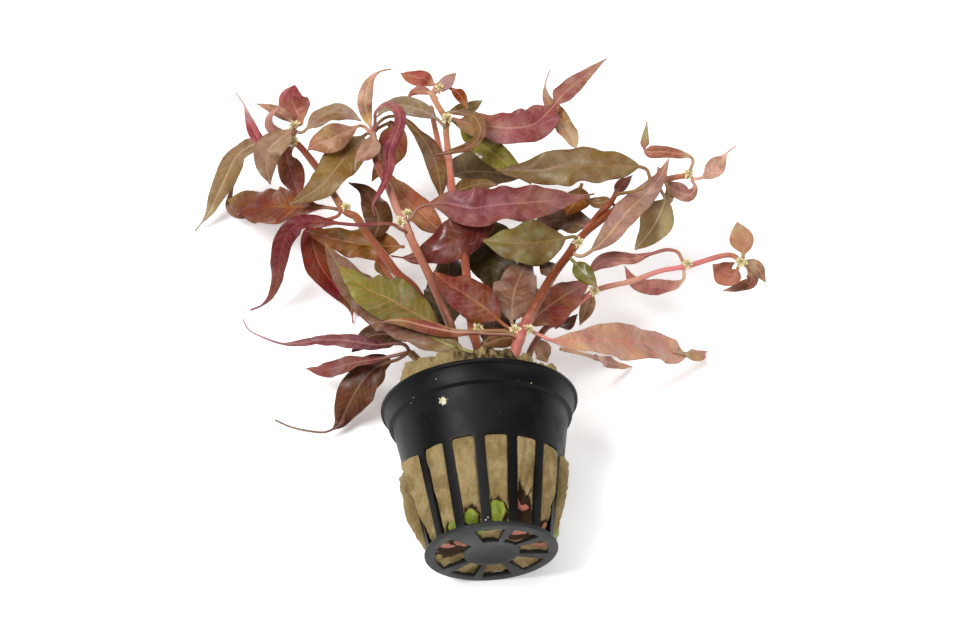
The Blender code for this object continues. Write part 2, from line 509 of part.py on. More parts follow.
def build_pot(group, cutters):
    """The slotted pot, turned and then cut."""
    band_low = POT_HEIGHT - BAND_HEIGHT
    profile = [
        (0.0, FLOOR_THICK),
        (wall_radius(FLOOR_THICK) - WALL, FLOOR_THICK),
        (wall_radius(band_low) - WALL, band_low - WALL),
        (BAND_LOW_RADIUS - WALL, band_low),
        (BAND_TOP_RADIUS - WALL, POT_HEIGHT),
        (RIM_RADIUS - LIP_ROUND, POT_HEIGHT),
        (RIM_RADIUS, POT_HEIGHT - LIP_ROUND),
        (RIM_RADIUS, POT_HEIGHT - LIP_HEIGHT),
        (BAND_TOP_RADIUS, POT_HEIGHT - LIP_HEIGHT - LIP_ROUND),
        (BAND_LOW_RADIUS, band_low),
        (wall_radius(band_low - STEP_HEIGHT), band_low - STEP_HEIGHT),
        (wall_radius(PLATE_THICK), PLATE_THICK),
        (BASE_RADIUS, PLATE_THICK),
        (BASE_RADIUS, 0.0),
        (DISH_RADIUS + DISH_SLOPE, 0.0),
        (DISH_RADIUS, DISH_DEPTH),
        (0.0, DISH_DEPTH),
    ]
    pot = turned("net_pot", profile, POT_STEPS, group)
    slot = prism("slot_cutter", slot_outline(), RIM_RADIUS, cutters)
    outward = Matrix(((0.0, 0.0, 1.0), (1.0, 0.0, 0.0), (0.0, 1.0, 0.0))).to_4x4()
    slot.data.transform(Matrix.Translation((RIM_RADIUS * 0.85, 0.0, 0.0)) @ outward)
    wedges = []
    for middle, spread in HOLES:
        steps = math.ceil(spread / HOLE_SPAN)
        turns = [math.radians(middle - spread / 2 + spread * step / steps) for step in range(steps + 1)]
        corners = [(HOLE_OUT * math.cos(turn), HOLE_OUT * math.sin(turn)) for turn in turns]
        corners += [(HOLE_IN * math.cos(turn), HOLE_IN * math.sin(turn)) for turn in reversed(turns)]
        wedges.append(prism("hole_cutter", corners, FLOOR_THICK * 4, cutters))
    around = [slot.data.copy() for _ in range(SLOT_COUNT)]
    for index, mesh in enumerate(around):
        mesh.transform(Matrix.Rotation(SLOT_TURN + math.tau * index / SLOT_COUNT, 4, "Z"))
    for name, meshes in (("slot_cutters", around), ("hole_cutters", [wedge.data for wedge in wedges])):
        ring = bmesh.new()
        for mesh in meshes:
            ring.from_mesh(mesh)
        joined = bpy.data.meshes.new(name)
        ring.to_mesh(joined)
        ring.free()
        cutter = add_object(name, joined, cutters)
        cutter.matrix_world = pot_matrix()
        hide(cutter)
        combine(pot, cutter, "DIFFERENCE")
    for piece in [slot, *wedges]:
        bpy.data.objects.remove(piece)
    for mesh in around:
        bpy.data.meshes.remove(mesh)
    dress(pot, "black_plastic")


def build_wool(group):
    """The rock wool plug that fills the pot and stands out of its mouth."""
    inside = WALL + GAP
    band_low = POT_HEIGHT - BAND_HEIGHT
    low = FLOOR_THICK + GAP
    profile = [
        (0.0, POT_HEIGHT + WOOL_STAND),
        (WOOL_FLAT_RADIUS, POT_HEIGHT + WOOL_STAND),
        (WOOL_FLAT_RADIUS + 4.5 * MM, POT_HEIGHT + WOOL_STAND * 0.75),
        (BAND_LOW_RADIUS - inside, POT_HEIGHT + 1.0 * MM),
        (BAND_LOW_RADIUS - inside, band_low + GAP),
        (wall_radius(band_low) - inside, band_low - WALL),
        (wall_radius(low) - inside, low),
        (0.0, low),
    ]
    wool = turned("rock_wool", profile, WOOL_STEPS, group)
    dress(wool, "rock_wool")


def tube(name, points, radii, group):
    """A round tube along the points, its radius running evenly from one value to the other."""
    curve = bpy.data.curves.new(name, "CURVE")
    curve.dimensions = "3D"
    curve.bevel_depth = MM
    curve.bevel_resolution = STEM_SIDES_LEVEL
    curve.use_fill_caps = True
    spline = curve.splines.new("POLY")
    spline.points.add(len(points) - 1)
    for index, (point, place) in enumerate(zip(spline.points, points)):
        share = index / (len(points) - 1)
        point.co = (*place, 1.0)
        point.radius = radii[0] * (1 - share) + radii[1] * share
    return as_mesh(add_object(name, curve, group), group)


def blade_width(leaf, share):
    """Half the leaf's width at this share of its length."""
    if share <= leaf.petiole:
        return PETIOLE_HALF
    along = (share - leaf.petiole) / (1 - leaf.petiole)
    lobe = along / leaf.tail
    bend = math.log(0.5) / math.log(leaf.peak)
    swell = math.sin(math.pi * lobe ** bend) ** 0.9 if lobe < 1 else 0.0
    if leaf.neck:
        swell *= 1 - NECK_DEPTH * math.exp(-((along - leaf.neck) / NECK_REACH) ** 2)
    least = PETIOLE_HALF * (1 - along) + LEAF_TIP_HALF * along
    return max(leaf.width * MM / 2 / SHOWN_WIDTH * swell, least)


def build_leaf(name, leaf, group):
    """A leaf: a strip of faces bent along its path and folded along its midrib, made solid."""
    route = [seen(*point) for point in leaf.path]
    length = sum((other - one).length for one, other in zip(route, route[1:]))
    stations = max(FEWEST_STATIONS, min(MOST_STATIONS, 3 + round(length / STATION_STEP)))
    stations += leaf.extra_stations
    points = even_points(route, stations)
    form = bmesh.new()
    rows = []
    for index, point in enumerate(points):
        share = index / (stations - 1)
        ahead = points[min(index + 1, stations - 1)] - points[max(index - 1, 0)]
        ahead.normalize()
        side = ahead.cross(BLADE_FACE).normalized()
        face = side.cross(ahead)
        half = blade_width(leaf, share)
        fold = math.radians(leaf.fold)
        lift = face * half * math.sin(fold)
        reach = side * half * math.cos(fold)
        rows.append([form.verts.new(point - reach + lift), form.verts.new(point),
                     form.verts.new(point + reach + lift)])
    for row, following in zip(rows, rows[1:]):
        for column in range(2):
            form.faces.new((row[column], row[column + 1], following[column + 1], following[column]))
    mesh = bpy.data.meshes.new(name)
    form.to_mesh(mesh)
    form.free()
    piece = add_object(name, mesh, group)
    thick = piece.modifiers.new("thickness", "SOLIDIFY")
    thick.thickness = LEAF_THICK
    thick.offset = 0.0
    thick.use_even_offset = False
    dress(piece, leaf.finish)
    return piece


def build_stem(name, stem, group, additions):
    """A stem, with its side shoots, flower heads and small leaves grown fast to it."""
    across, up = stem.start
    points = [in_pot(across * MM, up * MM, STEM_FOOT)] + [seen(*point) for point in stem.path]
    body = tube(name, even_points(points, stem.stations), stem.radius, group)
    fast = []
    for index, shoot in enumerate(stem.shoots):
        route = even_points([seen(*point) for point in shoot], SHOOT_STATIONS)
        fast.append(tube(f"{name}_shoot_{index + 1}", route, SHOOT_RADIUS, additions))
    for index, bud in enumerate(stem.buds):
        form = bmesh.new()
        bmesh.ops.create_icosphere(form, subdivisions=1, radius=BUD_RADIUS)
        mesh = bpy.data.meshes.new(f"{name}_bud_{index + 1}")
        form.to_mesh(mesh)
        form.free()
        head = add_object(mesh.name, mesh, additions)
        head.location = seen(*bud)
        fast.append(head)
    for index, leaflet in enumerate(stem.leaflets):
        fast.append(build_leaf(f"{name}_leaflet_{index + 1}", leaflet, additions))
    for piece in fast:
        hide(piece)
        combine(body, piece, "UNION")
    dress(body, stem.finish)


def centre_footprint(plant, additions):
    """Move everything so that the origin is the middle of the footprint, on the surface."""
    bpy.context.view_layer.update()
    scene = bpy.context.evaluated_depsgraph_get()
    places = []
    for piece in plant.objects:
        shape = piece.evaluated_get(scene)
        places += [shape.matrix_world @ vertex.co for vertex in shape.data.vertices]
    low = Vector([min(place[axis] for place in places) for axis in range(3)])
    high = Vector([max(place[axis] for place in places) for axis in range(3)])
    middle = (low + high) / 2
    for piece in list(plant.objects) + list(additions.objects):
        piece.location -= Vector((middle.x, middle.y, low.z))


def main():
    """Clear the scene and build the plant and its pot."""
    for piece in list(bpy.data.objects):
        bpy.data.objects.remove(piece)
    plant = new_collection("alternanthera_reineckii")
    additions = new_collection("cutters_and_additions")
    build_pot(plant, additions)
    build_wool(plant)
    for name, stem in STEMS.items():
        build_stem(name, stem, plant, additions)
    for name, leaf in LEAVES.items():
        build_leaf(name, leaf, plant)
    centre_footprint(plant, additions)


main()
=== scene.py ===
"""Looks for an Alternanthera reineckii that lies on its side in its slotted net pot.

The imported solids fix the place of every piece. This script grows fine leaves, stems, flower heads,
rock wool and a bevelled pot on those places, and dresses each in a procedural finish.
"""
import json
import logging
import math
import random
from dataclasses import dataclass, field
from enum import Enum
from typing import Any, Optional, Sequence, Union

import bmesh
import bpy
import numpy as np
from mathutils import Matrix, Vector
from mathutils import noise as solid_noise

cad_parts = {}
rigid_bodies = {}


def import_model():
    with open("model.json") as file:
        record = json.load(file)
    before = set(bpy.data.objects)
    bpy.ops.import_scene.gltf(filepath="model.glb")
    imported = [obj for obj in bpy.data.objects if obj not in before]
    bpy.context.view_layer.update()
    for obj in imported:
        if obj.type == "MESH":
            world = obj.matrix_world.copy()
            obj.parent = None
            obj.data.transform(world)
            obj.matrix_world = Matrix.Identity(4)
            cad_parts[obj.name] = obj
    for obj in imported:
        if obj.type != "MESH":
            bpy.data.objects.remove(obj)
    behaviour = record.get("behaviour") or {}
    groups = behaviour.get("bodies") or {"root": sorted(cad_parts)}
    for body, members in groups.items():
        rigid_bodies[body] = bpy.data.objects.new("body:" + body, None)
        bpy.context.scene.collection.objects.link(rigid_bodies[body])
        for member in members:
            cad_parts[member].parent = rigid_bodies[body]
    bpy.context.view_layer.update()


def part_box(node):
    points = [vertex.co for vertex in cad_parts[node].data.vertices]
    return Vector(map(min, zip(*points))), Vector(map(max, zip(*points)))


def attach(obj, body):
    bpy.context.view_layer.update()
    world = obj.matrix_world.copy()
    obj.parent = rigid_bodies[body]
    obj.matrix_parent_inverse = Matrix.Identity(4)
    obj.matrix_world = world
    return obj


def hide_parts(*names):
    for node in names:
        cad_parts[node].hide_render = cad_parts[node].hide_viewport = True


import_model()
LOG = logging.getLogger("plant_in_pot")
MM = 0.001
BODY = "root"

Colour = tuple[float, float, float]
Place = tuple[float, float, float]
Pair = tuple[float, float]
Value = Union["Wire", float, Sequence[float]]


def add_node(tree: bpy.types.NodeTree, kind: str, settings: Optional[dict[str, Any]] = None,
             values: Optional[dict[Any, Value]] = None) -> bpy.types.Node:
    """Add any node.

    Args:
        tree: The tree that it goes into.
        kind: The node's type.
        settings: The node's own settings, set first. The key stops holds a ramp's stops.
        values: Numbers, colours or wires for its inputs, by name or index.

    Returns:
        The node.
    """
    node = tree.nodes.new(kind)
    for key, setting in (settings or {}).items():
        if key == "stops":
            ramp = node.color_ramp.elements
            while len(ramp) < len(setting):
                ramp.new(1.0)
            for element, (place, colour) in zip(ramp, setting):
                element.position = place
                element.color = (*colour, 1.0)
        else:
            setattr(node, key, setting)
    for key, value in (values or {}).items():
        socket = node.inputs[key]
        if isinstance(value, Wire):
            tree.links.new(value.socket, socket)
        else:
            socket.default_value = (*value, 1.0) if socket.type == "RGBA" else value
    return node


class Wire:
    """A socket that takes part in arithmetic: each operation adds one Math node."""

    def __init__(self, tree: bpy.types.NodeTree, socket: bpy.types.NodeSocket) -> None:
        """Hold the socket and the tree that it is in."""
        self.tree = tree
        self.socket = socket

    def maths(self, operation: str, *values: Value) -> "Wire":
        """Add a Math node.

        Args:
            operation: The node's operation.
            values: What goes into its sockets, in order.

        Returns:
            The node's result.
        """
        node = add_node(self.tree, "ShaderNodeMath", {"operation": operation}, dict(enumerate(values)))
        return Wire(self.tree, node.outputs[0])

    def __add__(self, other: Value) -> "Wire":
        """Return this value plus the other."""
        return self.maths("ADD", self, other)

    def __radd__(self, other: Value) -> "Wire":
        """Return the other value plus this one."""
        return self.maths("ADD", other, self)

    def __sub__(self, other: Value) -> "Wire":
        """Return this value minus the other."""
        return self.maths("SUBTRACT", self, other)

    def __rsub__(self, other: Value) -> "Wire":
        """Return the other value minus this one."""
        return self.maths("SUBTRACT", other, self)

    def __mul__(self, other: Value) -> "Wire":
        """Return this value times the other."""
        return self.maths("MULTIPLY", self, other)

    def __rmul__(self, other: Value) -> "Wire":
        """Return the other value times this one."""
        return self.maths("MULTIPLY", other, self)

    def __truediv__(self, other: Value) -> "Wire":
        """Return this value over the other."""
        return self.maths("DIVIDE", self, other)

    def size(self) -> "Wire":
        """Return the value without its sign."""
        return self.maths("ABSOLUTE", self)

    def part(self) -> "Wire":
        """Return the fraction above the whole number below."""
        return self.maths("FRACT", self)

    def step(self, low: float, high: float) -> "Wire":
        """Ease from 0 to 1 between two values.

        Args:
            low: Where the result is 0.
            high: Where the result is 1. It may be below low, which turns the ramp round.

        Returns:
            The eased value.
        """
        ends = (low, high, 0.0, 1.0) if low < high else (high, low, 1.0, 0.0)
        node = add_node(self.tree, "ShaderNodeMapRange", {"interpolation_type": "SMOOTHSTEP"},
                        dict(enumerate((self, *ends))))
        return Wire(self.tree, node.outputs[0])


# The inputs and the output of a Mix node that are for colours
MIX_FIRST, MIX_SECOND, MIX_RESULT = 6, 7, 2


class Finish:
    """The node tree of one material."""

    def __init__(self, name: str) -> None:
        """Start an empty material with this name."""
        self.material = bpy.data.materials.new(name)
        self.material.use_nodes = True
        self.tree = self.material.node_tree
        self.tree.nodes.clear()

    def node(self, kind: str, settings: Optional[dict[str, Any]] = None,
             values: Optional[dict[Any, Value]] = None, out: Any = 0) -> Wire:
        """Add any node.

        Args:
            kind: The node's type.
            settings: The node's own settings.
            values: What goes into its inputs, by name or index.
            out: The output that is wanted, by name or index.

        Returns:
            That output.
        """
        return Wire(self.tree, add_node(self.tree, kind, settings, values).outputs[out])

    def mix(self, share: Value, first: Value, second: Value) -> Wire:
        """Mix two colours.

        Args:
            share: How much of the second colour there is.
            first: The first colour.
            second: The second colour.

        Returns:
            The mixed colour.
        """
        values = {0: share, MIX_FIRST: first, MIX_SECOND: second}
        return self.node("ShaderNodeMix", {"data_type": "RGBA"}, values, MIX_RESULT)

    def place(self) -> Wire:
        """Return the point's place in metres, which a piece keeps as it moves."""
        return self.node("ShaderNodeTexCoord", out="Object")

    def distance(self, centre: Sequence[float]) -> Wire:
        """Return how far the point's place is from a centre, in metres."""
        values = {0: self.place(), 1: tuple(centre)}
        return self.node("ShaderNodeVectorMath", {"operation": "DISTANCE"}, values, "Value")

    def stretched(self, scale: Sequence[float], source: Optional[Wire] = None) -> Wire:
        """Scale a vector.

        Args:
            scale: One factor for each axis.
            source: The vector, or none for the point's place.

        Returns:
            The scaled vector.
        """
        vector = source or self.place()
        return self.node("ShaderNodeVectorMath", {"operation": "MULTIPLY"}, {0: vector, 1: tuple(scale)})

    def grain(self, size: float, detail: float = 3.0, rough: float = 0.55,
              source: Optional[Wire] = None, warp: float = 0.0) -> Wire:
        """Add smooth noise.

        Args:
            size: The size of its patches, in metres.
            detail: How many finer layers it has.
            rough: How strong the finer layers are.
            source: The vector to read it at, or none for the point's place.
            warp: How far it is distorted.

        Returns:
            A value around 0.5.
        """
        values = {"Vector": source or self.place(), "Scale": 1.0 / size, "Detail": detail,
                  "Roughness": rough, "Distortion": warp}
        return self.node("ShaderNodeTexNoise", {"noise_dimensions": "3D"}, values, 0)

    def cells(self, size: float, source: Optional[Wire] = None, edges: bool = True) -> Wire:
        """Add a net of cells.

        Args:
            size: The size of a cell, in metres.
            source: The vector to read it at, or none for the point's place.
            edges: Whether the distance to the nearest edge is wanted, or that to the centre.

        Returns:
            The distance, in cell sizes.
        """
        feature = "DISTANCE_TO_EDGE" if edges else "F1"
        values = {"Vector": source or self.place(), "Scale": 1.0 / size}
        return self.node("ShaderNodeTexVoronoi", {"feature": feature}, values, "Distance")

    def carried(self, name: str) -> tuple[Wire, Wire, Wire]:
        """Read a vector that the mesh carries.

        Args:
            name: The attribute's name.

        Returns:
            Its three numbers.
        """
        vector = self.node("ShaderNodeAttribute", {"attribute_name": name}, out="Vector")
        split = self.node("ShaderNodeSeparateXYZ", values={0: vector})
        return tuple(Wire(self.tree, output) for output in split.socket.node.outputs)

    def relief(self, height: Wire, strength: float, depth: float) -> Wire:
        """Turn a height into a bumped normal.

        Args:
            height: The height, around 0 to 1.
            strength: The Bump node's strength.
            depth: What a height of 1 stands for, in metres.

        Returns:
            The normal.
        """
        return self.node("ShaderNodeBump", values={"Height": height, "Strength": strength, "Distance": depth},
                         out="Normal")

    def layers(self, colour: Value, *coats: tuple[Value, Value]) -> Wire:
        """Lay coats over a colour.

        Args:
            colour: The colour below.
            coats: How much of each coat there is, and its colour, from the bottom up.

        Returns:
            The colour on top.
        """
        for share, coat in coats:
            colour = self.mix(share, colour, coat)
        return colour

    def close(self, sockets: dict[str, Value]) -> bpy.types.Material:
        """End the tree in a Principled shader.

        Args:
            sockets: What goes into its sockets, by name.

        Returns:
            The material.
        """
        shader = self.node("ShaderNodeBsdfPrincipled", values=sockets)
        add_node(self.tree, "ShaderNodeOutputMaterial", values={"Surface": shader})
        return self.material


class Dress:
    """What every finish of the plant and its pot has in common."""

    def paint(self, finish: Finish) -> dict[str, Value]:
        """Return what goes into the shader's sockets."""
        raise NotImplementedError

    def build(self, name: str) -> bpy.types.Material:
        """Make the material with this name."""
        finish = Finish(name)
        return finish.close(self.paint(finish))


def unit(rows: np.ndarray) -> np.ndarray:
    """Return the rows, each made one long."""
    return rows / np.maximum(np.linalg.norm(rows, axis=-1, keepdims=True), 1e-12)


def eased(value: np.ndarray, low: float, high: float) -> np.ndarray:
    """Ease from 0 at low to 1 at high.

    Args:
        value: The values to ease.
        low: Where the result is 0.
        high: Where the result is 1.

    Returns:
        The eased values.
    """
    share = np.clip((value - low) / (high - low), 0.0, 1.0)
    return share * share * (3.0 - 2.0 * share)


def peak_at(value: np.ndarray, middle: float, spread: float) -> np.ndarray:
    """Rise smoothly to 1 at one value and fall to nothing away from it.

    Args:
        value: The values.
        middle: Where the result is 1.
        spread: How far from there it has fallen to about a third.

    Returns:
        The height of the peak at each value.
    """
    return np.exp(-((value - middle) / spread) ** 2)


SPAN_SAMPLES = 12


def smooth_path(points: np.ndarray, count: int) -> np.ndarray:
    """Space points evenly along a smooth curve through the given ones.

    Args:
        points: The points that the curve goes through.
        count: How many points are wanted.

    Returns:
        The points, as rows.
    """
    ends = np.vstack([2 * points[0] - points[1], points, 2 * points[-1] - points[-2]])
    t = (np.arange(SPAN_SAMPLES) / SPAN_SAMPLES)[:, None]
    dense = []
    for before, first, second, after in zip(ends, ends[1:], ends[2:], ends[3:]):
        dense.append(0.5 * (2 * first + (second - before) * t
                            + (2 * before - 5 * first + 4 * second - after) * t ** 2
                            + (3 * first - before - 3 * second + after) * t ** 3))
    curve = np.vstack(dense + [points[-1:]])
    steps = np.linalg.norm(np.diff(curve, axis=0), axis=1)
    travelled = np.concatenate([[0.0], np.cumsum(steps)])
    wanted = np.linspace(0.0, travelled[-1], count)
    return np.stack([np.interp(wanted, travelled, curve[:, axis]) for axis in range(3)], axis=1)


def path_length(points: np.ndarray) -> float:
    """Return the length of the line through the points."""
    return float(np.linalg.norm(np.diff(points, axis=0), axis=1).sum())


def new_object(name: str, data: Any) -> bpy.types.Object:
    """Put a new object that holds this data into the scene."""
    thing = bpy.data.objects.new(name, data)
    bpy.context.scene.collection.objects.link(thing)
    return thing


def add_piece(name: str, vertices: np.ndarray, faces: list[list[int]],
              carried: Optional[dict[str, np.ndarray]] = None) -> bpy.types.Object:
    """Make a smooth shaded piece from points and faces.

    Args:
        name: The piece's name.
        vertices: Its points, as rows.
        faces: Its faces, as lists of point numbers.
        carried: Vectors that the points carry for the finish, by name.

    Returns:
        The new object, in the scene.
    """
    mesh = bpy.data.meshes.new(name)
    mesh.from_pydata(vertices.tolist(), [], faces)
    for key, rows in (carried or {}).items():
        attribute = mesh.attributes.new(key, "FLOAT_VECTOR", "POINT")
        attribute.data.foreach_set("vector", rows.astype(np.float32).ravel())
    mesh.update()
    mesh.shade_smooth()
    return new_object(name, mesh)


def formed(name: str, form: bmesh.types.BMesh) -> bpy.types.Object:
    """Turn a closed form into an object.

    Args:
        name: The object's name.
        form: The form, which is freed.

    Returns:
        The object, with its faces turned outwards.
    """
    bmesh.ops.recalc_face_normals(form, faces=form.faces)
    mesh = bpy.data.meshes.new(name)
    form.to_mesh(mesh)
    form.free()
    return new_object(name, mesh)


def settle(piece: bpy.types.Object, material: bpy.types.Material, slot: str, *nodes: str) -> None:
    """Dress a piece, attach it to the root body and hide the solids that it replaces.

    Args:
        piece: The piece.
        material: Its finish.
        slot: The record's material slot. It is not used.
        nodes: The solids that it replaces.
    """
    piece.data.materials.clear()
    piece.data.materials.append(material)
    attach(piece, BODY)
    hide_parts(*nodes)


def ring_faces(rows: int, columns: int) -> list[list[int]]:
    """List the faces between rings of points.

    Args:
        rows: The number of rings.
        columns: The number of points in a ring.

    Returns:
        The faces, as lists of point numbers.
    """
    faces = []
    for start in range(0, (rows - 1) * columns, columns):
        for column in range(columns):
            other = (column + 1) % columns
            faces.append([start + column, start + other, start + columns + other, start + columns + column])
    return faces


def tube_faces(rows: int, columns: int) -> list[list[int]]:
    """List the faces of rings of points that two end points follow and close.

    Args:
        rows: The number of rings.
        columns: The number of points in a ring.

    Returns:
        The faces, as lists of point numbers.
    """
    faces = ring_faces(rows, columns)
    end = rows * columns
    for column in range(columns):
        other = (column + 1) % columns
        faces.append([other, column, end])
        faces.append([end - columns + column, end - columns + other, end + 1])
    return faces


@dataclass(frozen=True)
class NetPot:
    """Sizes of the pot, in metres, and how it lies. Its own Z runs from the base to the mouth."""

    rim: float = 28.0 * MM
    base: float = 18.5 * MM
    height: float = 46.0 * MM
    band: float = 5.9 * MM
    band_top: float = 27.2 * MM
    band_low: float = 26.0 * MM
    step: float = 0.4 * MM
    body_top: float = 24.9 * MM
    body_low: float = 17.7 * MM
    plate: float = 0.9 * MM
    lip: float = 0.4 * MM
    lip_tall: float = 0.9 * MM
    wall: float = 1.1 * MM
    floor: float = 1.3 * MM
    dish: float = 5.6 * MM
    dish_slope: float = 1.0 * MM
    dish_depth: float = 0.5 * MM
    slots: int = 15
    slot_turn: float = 13.0
    slot_top: float = 25.6 * MM
    slot_low: float = 1.4 * MM
    slot_wide: float = 6.5 * MM
    slot_narrow: float = 4.9 * MM
    slot_round: float = 0.8 * MM
    hole_in: float = 7.8 * MM
    hole_out: float = 15.6 * MM
    wool_stand: float = 6.0 * MM
    stem_foot: float = 52.9 * MM
    flat: float = math.cos(math.pi / 30)

    def tilt(self) -> float:
        """Return the angle of the pot's axis above the surface. The turned solid rests on its flats."""
        return math.atan2((self.rim - self.base) * self.flat, self.height - self.lip_tall)

    def axes(self) -> tuple[Vector, Vector, Vector]:
        """Return the pot's own X, Y and Z."""
        across = Vector((1.0, 0.0, 0.0))
        axis = Vector((0.0, math.cos(self.tilt()), math.sin(self.tilt())))
        return across, axis.cross(across), axis

    def shift(self) -> Vector:
        """Return what moves the pot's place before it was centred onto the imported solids."""
        low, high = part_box("net_pot")
        return Vector(((low.x + high.x) / 2, low.y + self.base * self.flat * math.sin(self.tilt()), 0.0))

    def centre(self) -> Vector:
        """Return the middle of the base's outer face."""
        return self.shift() + Vector((0.0, 0.0, self.base * self.flat * math.cos(self.tilt())))

    def matrix(self) -> Matrix:
        """Return the matrix from the pot's own frame to the row frame."""
        return Matrix.Translation(self.centre()) @ Matrix(self.axes()).transposed().to_4x4()

    def point(self, across: float, up: float, along: float) -> np.ndarray:
        """Place a point by its distances across the pot, up from its axis and along it."""
        side, down, axis = self.axes()
        return np.array(self.centre() + across * side - up * down + along * axis)

    def on_wall(self, turn: float, along: float) -> tuple[float, ...]:
        """Place a point on the outside of the side wall.

        Args:
            turn: Its angle about the axis, in degrees.
            along: Its distance from the base, in mm.

        Returns:
            The point in the row frame.
        """
        low = self.height - self.band
        share = (along * MM - low) / self.band
        on_band = self.band_low + (self.band_top - self.band_low) * share
        radius = self.wall_at(along * MM) if share < 0.0 else on_band
        angle = math.radians(turn)
        return tuple(self.matrix() @ Vector((radius * math.cos(angle), radius * math.sin(angle), along * MM)))

    def wall_at(self, along: float) -> float:
        """Return the body's outer radius at this distance from the base."""
        return self.body_low + (self.body_top - self.body_low) * along / (self.height - self.band)


POT = NetPot()


@dataclass(frozen=True)
class Viewpoint:
    """Where the plant is seen from. Angles are in degrees."""

    turn: float = -4.32
    rise: float = 48.9
    depth: float = 730.0 * MM
    lens: float = 100.0
    sensor: float = 36.0
    columns: int = 960
    rows: int = 640
    base_column: float = 491.5
    base_row: float = 553.5
    near: float = 50.0 * MM

    def axes(self) -> np.ndarray:
        """Return the rows right, up and back."""
        turn, rise = math.radians(self.turn), math.radians(self.rise)
        right = np.array([math.cos(turn), math.sin(turn), 0.0])
        back = np.array([math.sin(turn) * math.cos(rise), -math.cos(turn) * math.cos(rise), math.sin(rise)])
        return np.array([right, np.cross(back, right), back])

    def step(self) -> float:
        """Return how far apart two columns are at a distance of one metre."""
        return self.sensor / self.lens / self.columns

    def eye(self) -> np.ndarray:
        """Return where the viewer is."""
        right, up, back = self.axes()
        column = (self.base_column - self.columns / 2) * self.step() * self.depth
        row = (self.rows / 2 - self.base_row) * self.step() * self.depth
        return np.array(POT.centre()) - column * right - row * up + self.depth * back

    def seen(self, points: Sequence[Place]) -> np.ndarray:
        """Place points that are given by column, row and height.

        Args:
            points: Column, row and height in mm of each point.

        Returns:
            The points in the row frame, as rows.
        """
        rows = np.array(points, float)
        right, up, back = self.axes()
        ray = ((rows[:, :1] - self.columns / 2) * self.step() * right
               + (self.rows / 2 - rows[:, 1:2]) * self.step() * up - back)
        eye = self.eye()
        return eye + ray * ((rows[:, 2:] * MM - eye[2]) / ray[:, 2:])

    def blade_face(self) -> np.ndarray:
        """Return where blades face: between the viewer and straight up."""
        return unit(self.axes()[2] + np.array([0.0, 0.0, 1.0]))

    def camera(self) -> None:
        """Make the camera."""
        data = bpy.data.cameras.new("camera")
        data.lens = self.lens
        data.sensor_width = self.sensor
        data.clip_start = self.near
        camera = new_object("camera", data)
        camera.matrix_world = Matrix.Translation(self.eye()) @ Matrix(self.axes()).transposed().to_4x4()
        bpy.context.scene.camera = camera


VIEW = Viewpoint()
SHOWN_WIDTH = 0.9
TIP_HALF = 0.3 * MM
PETIOLE_HALF = 0.55 * MM
WIDEST_AT = 0.41
NECK_DEPTH = 0.8
NECK_REACH = 0.05


@dataclass(frozen=True)
class Leaf:
    """One leaf: its path by column, row and height in mm, its width in mm and its blade's form."""

    finish: str
    width: float
    path: list[Place]
    fold: float = 16.0
    petiole: float = 0.12
    peak: float = WIDEST_AT
    tail: float = 1.0
    neck: float = 0.0
    curl: float = 0.25
    look: Optional["Look"] = None


@dataclass(frozen=True)
class Stem:
    """One stem: where it leaves the wool, its path, its radii, and what grows on it."""

    finish: str
    start: Pair
    path: list[Place]
    radius: Pair
    shoots: list[list[Place]] = field(default_factory=list)
    buds: list[Place] = field(default_factory=list)
    leaflets: list[Leaf] = field(default_factory=list)


def blend(share: float, first: Colour, second: Colour) -> Colour:
    """Mix two plain colours.

    Args:
        share: How much of the second colour there is.
        first: The first colour.
        second: The second colour.

    Returns:
        The mixed colour.
    """
    return tuple(one * (1.0 - share) + other * share for one, other in zip(first, second))


STUDIO_SHARE: Colour = (0.71, 0.73, 0.71)


def pigment(seen: Colour) -> Colour:
    """Turn a colour as it is seen under the studio light into the blade's own colour."""
    return tuple(one * share for one, share in zip(seen, STUDIO_SHARE))


PALE_VEIN: Colour = (0.6, 0.38, 0.27)
PALE_UNDER: Colour = (0.47, 0.28, 0.22)
DEEP_PATCH: Colour = (0.04, 0.02, 0.008)
DARK_MARGIN: Colour = (0.1, 0.03, 0.02)
SPECKLE: Colour = (0.7, 0.5, 0.3)
VEIN_PITCH = 2.6 * MM
VEIN_SLANT = 0.55
VEIN_CURVE = 0.5


